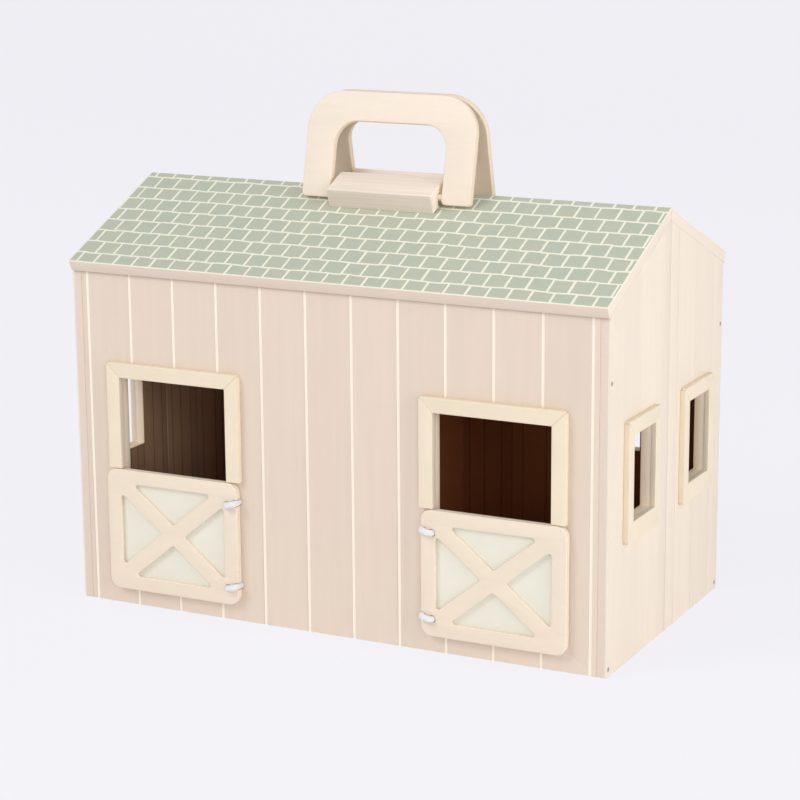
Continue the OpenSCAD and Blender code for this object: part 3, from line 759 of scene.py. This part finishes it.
DOOR_WIDE, DOOR_HIGH, DOOR_LOW, DOOR_SHIFT = 91.0, 76.0, 10.8, 1.4
HALF_DOOR_X = -(DOOR_X + DOOR_SHIFT)
HINGE_X = HALF_DOOR_X + DOOR_WIDE / 2
CORD_TOP, CORD_BOTTOM, CORD_GAP = 13.5, 10.5, 0.2
CORD_Z = [DOOR_LOW + DOOR_HIGH - CORD_TOP, DOOR_LOW + CORD_BOTTOM]
CORD_R, CORD_INSET, CORD_NOTCH, CORD_RISE = 2.0, 7.0, 0.9, 1.5
CORD_HOLE_R = CORD_R + CORD_GAP


def hole_pair(middle, wide, low, high):
    """Two openings, as far left of the middle as right of it."""
    return [(s * middle - wide / 2, s * middle + wide / 2, low, high) for s in (-1, 1)]


doorways = hole_pair(DOOR_X, DOOR_W, DOOR_SILL, DOOR_TOP)
rear_windows = hole_pair(REAR_WINDOW_X, WINDOW_W, WINDOW_LOW, WINDOW_LOW + WINDOW_H)
cord_holes = [(s * (HINGE_X - CORD_NOTCH), z + CORD_RISE, 0) for s in (-1, 1) for z in CORD_Z]
front_board = finished("front_wall_board", long_wall(doorways, cord_holes), long_planks, "front_half",
                       "front_wall")
finished("rear_wall_board", moved(long_wall(rear_windows, []), MIRROR_Y), long_planks, "rear_half",
         "rear_wall")
print("front wall faces:", len(front_board.data.polygons))

# %% End walls
def under(y):
    """Height of the roof's underside above a distance from the seam."""
    return WALL_H + (HALF_D - y) * tan(PITCH)


def end_wall(windowed):
    outline = [rounded([(Y0, 0, 0.5), (HALF_D, 0, 0.6), (HALF_D, WALL_H, 0.6), (Y0, under(Y0), 0.5)])]
    if windowed:
        outline.append(rectangle(WINDOW_Y - WINDOW_W / 2, WINDOW_Y + WINDOW_W / 2, WINDOW_LOW,
                                 WINDOW_LOW + WINDOW_H))
    board = grooved(flat_board(outline, WALL_T, EDGE), HALF_D - 2 * GROOVE_W - END_PLANK, END_PLANK,
                    END_GROOVE_W, END_GROOVE_D, end_planks)
    board = drilled(board, [(BRAD_Y, z, WALL_T / 2) for z in (BRAD_LOW, BRAD_HIGH)], BRAD_HOLE_R, BRAD_HOLE_D,
                    end_planks)
    board.transform(Matrix.Translation((0, 0, IN_X + WALL_T / 2)))
    return moved(board, TO_LEFT_END)


BLIND = ("rear", "left")
window_board, blind_board = end_wall(True), end_wall(False)
for half, turn in HALVES.items():
    for side, flip in SIDES.items():
        board = blind_board if (half, side) == BLIND else window_board
        finished(f"{half}_{side}_end_board", moved(board, turn @ flip), end_planks, f"{half}_half",
                 f"{half}_{side}_end")
print("end walls: 4, three with a window", WINDOW_W, "by", WINDOW_H, "mm")

# %% Floors and dividers
floor_board = flat_board([rectangle(-IN_X, IN_X, Y0, IN_Y)], FLOOR_T, 0.4)
floor_board.transform(Matrix.Translation((0, 0, FLOOR_T / 2)))
divider_board = flat_board([rounded([(Y0, FLOOR_T, 0.5), (IN_Y, FLOOR_T, 0.5), (IN_Y, under(IN_Y), 0.5),
                                     (Y0, under(Y0), 0.5)])], WALL_T, 0.4)
for half, turn in HALVES.items():
    for name, board, at, node in (("floor_board", floor_board, MIRROR_Y, "floor"),
                                  ("stall_divider", divider_board, TO_LEFT_END, "divider")):
        finished(f"{half}_{name}", moved(board, turn @ at), fibreboard, f"{half}_half", f"{half}_{node}")
print("floors and dividers: 4 boards of bare fibreboard")

# %% [markdown]
# ## Roof boards
# Each roof board lies on the slope, so it is drawn flat and laid there by a matrix
# whose axes run along the ridge, down the slope and out of the roof. At the ridge
# the board is cut plumb, so that the two halves close face to face.

# %% Roof boards
DOWN, OUT = (0, -cos(PITCH), -sin(PITCH)), (0, -sin(PITCH), cos(PITCH))
ON_SLOPE = frame_of((1, 0, 0), DOWN, OUT, (0, 0, RIDGE))
roof_board = flat_board([rectangle(-HX, HX, Y0 / cos(PITCH), EAVE_S, 0.4)], ROOF_T, 0.25)
for vertex in roof_board.vertices:
    vertex.co.z -= ROOF_T / 2
    if vertex.co.y < 3:
        vertex.co.y -= vertex.co.z * tan(PITCH)
for half, turn in HALVES.items():
    finished(f"{half}_roof_board", moved(roof_board, turn @ ON_SLOPE), shingles, f"{half}_half", f"{half}_roof")
print("roof boards: 2, slope length", round(EAVE_S, 1), "mm")

# %% [markdown]
# ## Casings
# Strips of light wood frame each opening, mitred at the corners. They are separate
# strips on the real barn, and a hair of shadow shows at each mitre.

# %% Casings
MITRE, CASING_W, CASING_GAP = 0.03, 9.0, 0.4
WINDOW_SIDE, WINDOW_HEAD, WINDOW_SILL = 8.0, 9.0, 12.0


def casing(wide, low, high, side, head, sill, leg_low):
    """Strips round an opening: two legs, a head and perhaps a sill, in the x-y plane."""
    a, b = wide / 2, wide / 2 + side
    low_in, low_out = (low, low - sill) if sill else (leg_low, leg_low)
    strips = [[(s * a, low_in, 0.3), (s * b, low_out, 0.6), (s * b, high + head, 0.7), (s * a, high, 0.3)]
              for s in (-1, 1)]
    for inner, outer in ((high, high + head), (low, low - sill))[:2 if sill else 1]:
        strips.append([(-a + MITRE, inner, 0.3), (a - MITRE, inner, 0.3), (b - MITRE, outer, 0.7),
                       (-b + MITRE, outer, 0.7)])
    return strips


def casing_mesh(strips, thick):
    return merged([flat_board([rounded(s, 4)], thick, 0.35) for s in strips])


CASING_T, WINDOW_CASING_T = 4.0, 3.5
door_strips = casing_mesh(casing(DOOR_W, DOOR_SILL, DOOR_TOP, CASING_W, CASING_W, 0,
                                 DOOR_LOW + DOOR_HIGH + CASING_GAP), CASING_T)
window_strips = casing_mesh(casing(WINDOW_W, WINDOW_LOW, WINDOW_LOW + WINDOW_H, WINDOW_SIDE, WINDOW_HEAD,
                                   WINDOW_SILL, 0), WINDOW_CASING_T)
for side, flip in SIDES.items():
    at = flip @ TO_FRONT @ Matrix.Translation((-DOOR_X, 0, HALF_D + CASING_T / 2))
    finished(f"{side}_doorway_casing", moved(door_strips, at), casing_wood, "front_half",
             f"{side}_door_casing")
    for half, turn in HALVES.items():
        if (half, side) == BLIND:
            continue
        at = turn @ flip @ TO_LEFT_END @ Matrix.Translation((WINDOW_Y, 0, HX + WINDOW_CASING_T / 2))
        finished(f"{half}_{side}_window_frame", moved(window_strips, at), casing_wood, f"{half}_half",
                 f"{half}_{side}_window_casing")
on_rear = MIRROR_Y @ TO_FRONT
rear_pair = [moved(window_strips, on_rear @ Matrix.Translation((x, 0, HALF_D + WINDOW_CASING_T / 2)))
             for x in (-REAR_WINDOW_X, REAR_WINDOW_X)]
finished("rear_window_frames", merged(rear_pair), casing_wood, "rear_half", "rear_wall_casings")
print("casings: 2 round the doorways, 5 round windows")

# %% [markdown]
# ## Half-doors
# A half-door is a thin painted panel with a braced frame glued on. The four
# triangles between the braces are holes in the frame's outline, with small round
# corners where the router turned.

# %% Half-doors
PANEL_T, FRAME_T, DOOR_GAP, DOOR_R, PANEL_EYE_R = 2.0, 2.5, 0.3, 6.5, 3.6
STILE, RAIL, BRACE, BRACE_R = 9.2, 8.6, 9.6, 1.5
half_w, half_h = DOOR_WIDE / 2 - STILE, DOOR_HIGH / 2 - RAIL
diagonal = hypot(half_w, half_h)
rise, run = BRACE / 2 * diagonal / half_w, BRACE / 2 * diagonal / half_h
door_middle = DOOR_LOW + DOOR_HIGH / 2


def notch(z):
    """Where the cord passes back to the wall, a round notch in the hinge edge."""
    x, y = DOOR_WIDE / 2 - CORD_NOTCH, z + CORD_RISE - door_middle
    turns = [radians(15 * k - 90) for k in range(13)]
    arc = [(x - CORD_HOLE_R * cos(a), y + CORD_HOLE_R * sin(a), 0) for a in turns]
    return [(DOOR_WIDE / 2, y - CORD_HOLE_R, 0)] + arc + [(DOOR_WIDE / 2, y + CORD_HOLE_R, 0)]


door_corners = [(x * DOOR_WIDE / 2, y * DOOR_HIGH / 2, DOOR_R) for x, y in ((-1, -1), (1, -1), (1, 1), (-1, 1))]
door_outline = rounded(door_corners[:2] + notch(CORD_Z[1]) + notch(CORD_Z[0]) + door_corners[2:], 10)
triangles = []
for s in (-1, 1):
    level_one = [(-(half_w - run), s * half_h), (half_w - run, s * half_h), (0, s * rise)]
    upright_one = [(s * half_w, half_h - rise), (s * half_w, -(half_h - rise)), (s * run, 0)]
    triangles += [rounded([(*corner, BRACE_R) for corner in three]) for three in (level_one, upright_one)]


def disc(x, y, r, steps=28):
    turns = [tau * k / steps for k in range(steps)]
    return [(x + r * cos(a), y + r * sin(a)) for a in turns]


eyes = [(DOOR_WIDE / 2 - CORD_INSET, z - door_middle) for z in CORD_Z]
braced = flat_board([door_outline] + triangles + [disc(x, y, CORD_HOLE_R) for x, y in eyes], FRAME_T, 0.4)
panel = flat_board([door_outline] + [disc(x, y, PANEL_EYE_R) for x, y in eyes], PANEL_T, 0.15)
FACE_Y = HALF_D + DOOR_GAP + PANEL_T + FRAME_T
for side, flip in SIDES.items():
    front = flip @ TO_FRONT @ Matrix.Translation((HALF_DOOR_X, door_middle, 0))
    for name, board, finish, out, node, slot in (
            ("bracing", braced, frame_wood, FACE_Y - FRAME_T / 2, "frame", "trim"),
            ("back", panel, panel_paint, HALF_D + DOOR_GAP + PANEL_T / 2, "panel", "door_panel")):
        finished(f"{side}_door_{name}", moved(board, front @ Matrix.Translation((0, 0, out))), finish,
                 f"{side}_door", f"{side}_door_{node}")
print("half-doors: brace angle", round(degrees(atan2(half_h, half_w)), 1), "degrees")

# %% [markdown]
# ## Elastic hinge cords
# Each half-door swings on two loops of white elastic cord: out of a hole in the
# door, round its edge and back through a hole in the wall, with a knot at each
# end. The sleeve's weave follows the cord, so a tree sweeps a circle along the path,
# stores how far along and how far round each point is, and lifts the crossing
# strands. The cord bends when the door opens.

# %% Cord tree
def cord_tree():
    t = Tree("woven_cord", {"Radius": (NUMBER, 2.0), "Strands": (NUMBER, 8.0), "Pitch": (NUMBER, 1.1),
                            "Relief": (NUMBER, 0.1), "Material": (PAINT, None)})
    length = t.node("GeometryNodeSplineParameter", output="Length")
    kept = t.store(t.take("Geometry"), "sleeve_length", length)
    ring = t.node("GeometryNodeCurvePrimitiveCircle", inputs={"Resolution": 32, "Radius": t.take("Radius")})
    ring = t.store(ring, "sleeve_turn", t.node("GeometryNodeSplineParameter", output="Factor"))
    tube = t.node("GeometryNodeCurveToMesh", inputs={"Curve": kept, "Profile Curve": ring, "Fill Caps": True})
    round_it = t.stored("sleeve_turn") * t.take("Strands")
    along = t.stored("sleeve_length") * t.take("Pitch")
    crest = ((round_it + along) * tau).cosine() * ((round_it - along) * tau).cosine()
    lift = (crest - 1.0) * t.take("Relief")
    normal = t.node("GeometryNodeInputNormal")
    offset = t.node("ShaderNodeVectorMath", {"operation": "SCALE"}, {0: normal, "Scale": lift})
    return t.finish(t.node("GeometryNodeSetPosition", inputs={"Geometry": tube, "Offset": offset}))


woven = cord_tree()
print("cord tree:", woven.tree.name)


def cord_curve(points, closed=False):
    curve = bpy.data.curves.new("route", "CURVE")
    curve.dimensions = "3D"
    spline = curve.splines.new("POLY")
    spline.points.add(len(points) - 1)
    for point, place in zip(spline.points, points):
        point.co = (*place, 1)
    spline.use_cyclic_u = closed
    return curve


# %% Cords and knots
BEND_R, IN_WALL, CORD_ACROSS = 2.3, FACE_Y - IN_Y, CORD_INSET - CORD_NOTCH
FLAT_KNOT, BALL_KNOT, KNOT_GAP = (3.35, 0.82, 0.6), (3.75, 3.7, 1.45), 0.15
BENDS_FROM, BENDS_TO = 3.1, 4.8
span, tilt = hypot(CORD_ACROSS, CORD_RISE), atan2(CORD_RISE, CORD_ACROSS)


def knot(radius, high, thick, turns=96):
    """A trefoil drawn tight, as an overhand knot looks when the cord is pulled home."""
    spread, lift = (radius - thick) / 3, high - thick
    path = [(spread * (sin(a) + 2 * sin(2 * a)), spread * (cos(a) - 2 * cos(2 * a)),
             -lift * sin(3 * a)) for a in (tau * k / turns for k in range(turns))]
    return woven.run(cord_curve(path, True), {"Radius": thick, "Relief": thick * 0.04, "Material": sleeve})


def straight(a, b, steps):
    return [Vector(a).lerp(Vector(b), k / steps) for k in range(steps)]


def hinge_cord(z):
    """Local x runs from the door's hole to the wall's, and local z out of the front."""
    bend = [radians(9 * k) for k in range(11)]
    route = straight((0, 0, -FRAME_T - 0.9), (0, 0, 0), 8)
    route += [Vector((BEND_R - BEND_R * cos(a), 0, BEND_R * sin(a))) for a in bend[:-1]]
    route += straight((BEND_R, 0, BEND_R), (span - BEND_R, 0, BEND_R), 5)
    route += [Vector((span - BEND_R + BEND_R * sin(a), 0, BEND_R * cos(a))) for a in bend[:-1]]
    route += straight((span, 0, 0), (span, 0, -IN_WALL - 2.5), 26)
    tube = woven.run(cord_curve(route), {"Radius": CORD_R, "Relief": 0.09, "Material": sleeve})
    flat = knot(*FLAT_KNOT)
    flat.transform(Matrix.Translation((0, 0, -FRAME_T - PANEL_T / 2)))
    ball = knot(*BALL_KNOT)
    ball.transform(Matrix.Translation((span, 0, -IN_WALL - KNOT_GAP - BALL_KNOT[0])))
    whole = merged([tube, flat, ball])
    turn = Matrix.Rotation(-tilt, 4, "Y") @ TO_FRONT
    return moved(whole, Matrix.Translation((HINGE_X - CORD_INSET, -FACE_Y, z)) @ turn)


for side, flip in SIDES.items():
    s = 1 if side == "left" else -1
    pair = moved(merged([hinge_cord(z) for z in CORD_Z]), flip)
    cords = dressed(f"{side}_hinge_cords", pair, sleeve)
    for polygon in pair.polygons:
        polygon.use_smooth = True
    s * (HINGE_X - BENDS_FROM) / 1000
    s * (HINGE_X - BENDS_TO) / 1000
    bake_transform(cords)
    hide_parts(f"{side}_door_cords")
print("cords: 4, bend radius", BEND_R, "mm, faces each pair", len(pair.polygons))

# %% [markdown]
# ## Carrying handles and their clamp blocks
# The handle is plywood, cut with round shoulders, and its lower bar is turned down
# to a round journal. A wooden block with a keyhole slot straddles the journal and
# is screwed up through the roof, so the handle folds down onto its slope.

# %% Handles
FOOT_R, INNER_R, OUTER_R = 2.5, 14.5, 23.0
leg_x, out_x, top_in = HANDLE_W / 2 - LEG_W, HANDLE_W / 2, HANDLE_UP - BAR_H
handle_outline = rounded([
    (-out_x, -HANDLE_FOOT, FOOT_R), (-leg_x, -HANDLE_FOOT, FOOT_R), (-leg_x, top_in, INNER_R),
    (leg_x, top_in, INNER_R), (leg_x, -HANDLE_FOOT, FOOT_R), (out_x, -HANDLE_FOOT, FOOT_R),
    (out_x, HANDLE_UP, OUTER_R), (-out_x, HANDLE_UP, OUTER_R)], 14)
plate = flat_board([handle_outline], HANDLE_T, 0.7)
journal = flat_board([disc(0, 0, JOURNAL_R, 32)], 2 * leg_x + 1.0, 0.3)
journal.transform(Matrix.Rotation(pi / 2, 4, "Y"))
handle = merged([plate, journal])
at_pivot = Matrix.Translation((0, -PIVOT_Y, PIVOT_Z)) @ Matrix.Rotation(-LEAN, 4, "X") @ TO_FRONT
for half, turn in HALVES.items():
    finished(f"{half}_carrying_handle", moved(handle, turn @ at_pivot), handle_ply[half],
             f"{half}_handle", f"{half}_handle")
print("handles:", HANDLE_W, "mm wide, plywood", HANDLE_T, "mm thick")

# %% Clamp blocks
bore = [(PIVOT_S - BORE_R * cos(a), PIVOT_H + BORE_R * sin(a), 0)
        for a in (radians(15 * k) for k in range(13))]
profile = rounded([(BLOCK_S, 0, 0.3), (PIVOT_S - BORE_R, 0, 0)] + bore + [
    (PIVOT_S + BORE_R, 0, 0), (BLOCK_END, 0, 0.3), (BLOCK_END, BLOCK_H, 0.7), (BLOCK_S, BLOCK_H, 0.9)])
block = flat_board([profile], 2 * BLOCK_X, 0.9)
along_ridge = ON_SLOPE @ frame_of((0, 1, 0), (0, 0, 1), (1, 0, 0))
for half, turn in HALVES.items():
    finished(f"{half}_clamp_block", moved(block, turn @ along_ridge), block_wood, f"{half}_half",
             f"{half}_handle_block")
print("clamp block", 2 * BLOCK_X, "by", BLOCK_D, "by", BLOCK_H, "mm")

# %% [markdown]
# ## Screws and brads
# A screw head is a low dome with a cross cut into it, and a brad's is a flat disc
# with a softened rim. One head of each is modelled, and a tree sets a copy of it on
# every point of a small mesh, turned so that no two crosses line up.

# %% Fixing heads
def lathed(profile, steps=24):
    """A closed round solid from (radius, height) points that start and end on the axis."""
    work = bmesh.new()
    rings = []
    for r, h in profile:
        if r < 1e-6:
            rings.append([work.verts.new((0, 0, h))])
        else:
            rings.append([work.verts.new((x, y, h)) for x, y in disc(0, 0, r, steps)])
    for low, high in zip(rings, rings[1:]):
        for k in range(steps):
            after = k + 1
            corners = [low[k % len(low)], low[after % len(low)], high[after % len(high)], high[k % len(high)]]
            unique = list(dict.fromkeys(corners))
            if len(unique) > 2:
                work.faces.new(unique)
    bmesh.ops.recalc_face_normals(work, faces=work.faces)
    return mesh_from(work, "lathed")


def crossed(mesh, wide, length, depth, top):
    """Cuts a cross recess into the top of a head."""
    body = placed("head", mesh)
    for turn in (0, 90):
        work = bmesh.new()
        bmesh.ops.create_cube(work, size=1)
        bar = mesh_from(work, "bar")
        bar.transform(Matrix.Rotation(radians(turn), 4, "Z") @ Matrix.Translation((0, 0, top))
                      @ Matrix.Diagonal((length, wide, 2 * depth, 1)))
        step = body.modifiers.new("cut", "BOOLEAN")
        step.operation, step.solver, step.object = "DIFFERENCE", "EXACT", placed("bar", bar)
    made = evaluated(body)
    for step in list(body.modifiers):
        tool = step.object
        body.modifiers.remove(step)
        bpy.data.objects.remove(tool)
    bpy.data.objects.remove(body)
    return made


def fixing_tree():
    """A head on every point, facing along the point's stored direction, each turned a little differently."""
    t = Tree("fixings", {"Head": (THING, None), "Turn": (NUMBER, 1.0), "Seed": (WHOLE, 3),
                         "Material": (PAINT, None)})
    head = t.shape_of("Head")
    facing = t.stored("facing", "FLOAT_VECTOR")
    tilt = t.node("FunctionNodeAlignRotationToVector", {"axis": "Z"}, {"Vector": facing})
    spin = t.node("FunctionNodeRandomValue", {"data_type": "FLOAT"},
                  {"Min": 0.0, "Max": t.take("Turn"), "Seed": t.take("Seed")}, 1)
    turned = t.node("FunctionNodeRotateRotation", {"rotation_space": "LOCAL"},
                    {"Rotation": tilt, "Rotate By": t.vector(0.0, 0.0, spin)})
    return t.finish(t.node("GeometryNodeInstanceOnPoints",
                           inputs={"Points": t.take("Geometry"), "Instance": head, "Rotation": turned}))


fixings = fixing_tree()


def set_out(head, places, material, seed):
    """Copies of a head at (place, direction) pairs, in one mesh."""
    marks = bpy.data.meshes.new("places")
    marks.from_pydata([p for p, _ in places], [], [])
    facing = marks.attributes.new("facing", "FLOAT_VECTOR", "POINT")
    for item, (_, direction) in zip(facing.data, places):
        item.vector = direction
    holder = placed("head", head)
    made = fixings.run(marks, {"Head": holder, "Turn": 1.5, "Seed": seed, "Material": material})
    bpy.data.objects.remove(holder)
    return made


BRAD = [(0, -1.0), (0.6, -1.0), (0.6, -0.55), (1.3, -0.5), (1.4, -0.3), (1.38, -0.1), (1.2, 0.0), (0, 0.03)]
PAN = [(0, -1.2), (1.5, -1.2), (1.5, 0.0), (2.6, 0.0), (2.8, 0.3), (2.75, 0.8), (2.4, 1.3), (1.6, 1.65),
       (0.8, 1.77), (0, 1.8)]
FLAT = [(0, -1.6), (0.7, -1.6), (0.7, -0.8), (1.42, -0.06), (1.46, 0.0), (0.9, 0.06), (0, 0.08)]
brad_head = lathed(BRAD)
pan_head = crossed(lathed(PAN), wide=0.75, length=3.0, depth=1.0, top=1.8)
flat_head = crossed(lathed(FLAT), wide=0.42, length=1.7, depth=0.45, top=0.08)
print("heads: a brad, a pan-head screw and a flat hinge screw")

# %% Brads and screws in place
SCREW_X, HINGE_Z, LEAF_SCREW = 24.0, (40.0, 180.0), 0.3
screw_s = [(BLOCK_S + PIVOT_S - BORE_R) / 2, (PIVOT_S + BORE_R + BLOCK_END) / 2]
LEAF_T, LEAF_W, LEAF_H, KNUCKLE_R, KNUCKLE_GAP = 1.0, 16.0, 30.0, 1.6, 0.3
leaf_y = (KNUCKLE_R + KNUCKLE_GAP + LEAF_W) / 2
for half, turn in HALVES.items():
    s = -1 if half == "front" else 1
    brads = [((x * HX, s * BRAD_Y, z), (x, 0, 0)) for x in (-1, 1) for z in (BRAD_LOW, BRAD_HIGH)]
    into = Vector((0, -s * sin(PITCH), -cos(PITCH)))
    screws = [((turn @ ON_SLOPE) @ Vector((x * SCREW_X, d, -ROOF_T)), into) for x in (-1, 1) for d in screw_s]
    small = [((-HX - LEAF_T, s * leaf_y, z + k * LEAF_H * LEAF_SCREW), (-1, 0, 0))
             for z in HINGE_Z for k in (-1, 1)]
    for name, head, places, metal, seed, node, slot in (
            ("brad_heads", brad_head, brads, steel, 5, "brads", "steel"),
            ("block_screw_heads", pan_head, screws, steel, 8, "block_screws", "steel"),
            ("hinge_screw_heads", flat_head, small, brass, 12, "hinge_screws", "hinge_screw")):
        heads = set_out(head, places, metal, seed)
        finished(f"{half}_{name}", heads, metal, f"{half}_half", f"{half}_{node}")
print("fixings set out by one tree: brads, block screws and hinge screws")

# %% [markdown]
# ## Hinges
# The two small hinges are already right in the measured model: thin leaves with
# cut-outs, knuckles and pins. They only need their metal, so their objects keep
# their meshes and take new materials.

# %% Hinge leaves and pins
for name, material in (("front_hinge_leaves", brass), ("rear_hinge_leaves", brass), ("hinge_pins", steel)):
    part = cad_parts[name]
    part.data.materials.clear()
    part.data.materials.append(material)
print("hinges dressed:", [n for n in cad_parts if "hinge" in n])

# %% [markdown]
# ## Studio
# The floor and the sweep behind it are one curved sheet, nearly white, so that no
# horizon shows. Seen by the camera it glows a little, which keeps it pale without
# more light on the barn, and it still takes the barn's soft shadow.

# %% Sweep
SWEEP_NEAR, SWEEP_FAR, SWEEP_R, SWEEP_UP, SWEEP_X = -6.0, 2.2, 2.0, 6.0, 9.0
GLOW_SHARE, ROOM_LIGHT = 0.86, 0.57


def sweep():
    work = bmesh.new()
    turns = [radians(9 * k) for k in range(1, 11)]
    curve = [(SWEEP_FAR + SWEEP_R * sin(a), SWEEP_R - SWEEP_R * cos(a)) for a in turns]
    profile = [(SWEEP_NEAR, 0.0), (SWEEP_FAR, 0.0)] + curve + [(SWEEP_FAR + SWEEP_R, SWEEP_UP)]
    rows = [[work.verts.new((x, y, z)) for x in (-SWEEP_X, SWEEP_X)] for y, z in profile]
    for low, high in zip(rows, rows[1:]):
        work.faces.new((low[0], low[1], high[1], high[0]))
    work.normal_update()
    mesh = mesh_from(work, "sweep")
    for polygon in mesh.polygons:
        polygon.use_smooth = True
    return mesh


paper = Finish("sweep_paper")
seen = [paper.node("ShaderNodeLightPath", output=ray) for ray in ("Is Camera Ray", "Is Glossy Ray")]
matt = paper.node("ShaderNodeBsdfDiffuse", inputs={0: tone(238, 238, 241)})
glow = paper.node("ShaderNodeEmission", inputs={0: tone(245, 244, 250)})
share = seen[0].most(seen[1]) * GLOW_SHARE
backdrop = placed("sweep", sweep())
paper.shown(paper.node("ShaderNodeMixShader", inputs={0: share, 1: matt, 2: glow}))
backdrop.data.materials.append(paper.material)
print("sweep:", len(backdrop.data.polygons), "faces")

# %% Lights
def lamp(name, place, target, size, power):
    data = bpy.data.lights.new(name, "AREA")
    data.shape, data.size, data.energy = "SQUARE", size, power
    light = placed(name, data)
    light.location = place
    light.rotation_euler = (Vector(place) - Vector(target)).to_track_quat("Z", "Y").to_euler()


lamp("key", (-1.5, -2.0, 2.2), (0, 0, 0.15), 1.2, 32)
lamp("side", (2.6, -0.5, 0.8), (0, 0, 0.12), 1.4, 25)
lamp("front", (1.55, -2.05, 0.85), (0, 0, 0.12), 0.9, 11)
world = bpy.data.worlds.new("room")
world.use_nodes = True
world.node_tree.nodes["Background"].inputs[0].default_value = (1, 1, 1, 1)
world.node_tree.nodes["Background"].inputs[1].default_value = ROOM_LIGHT
bpy.context.scene.world = world
bpy.context.scene.view_settings.view_transform = "Standard"
print("lamps: key from the upper left, one at the right end, one low in front")
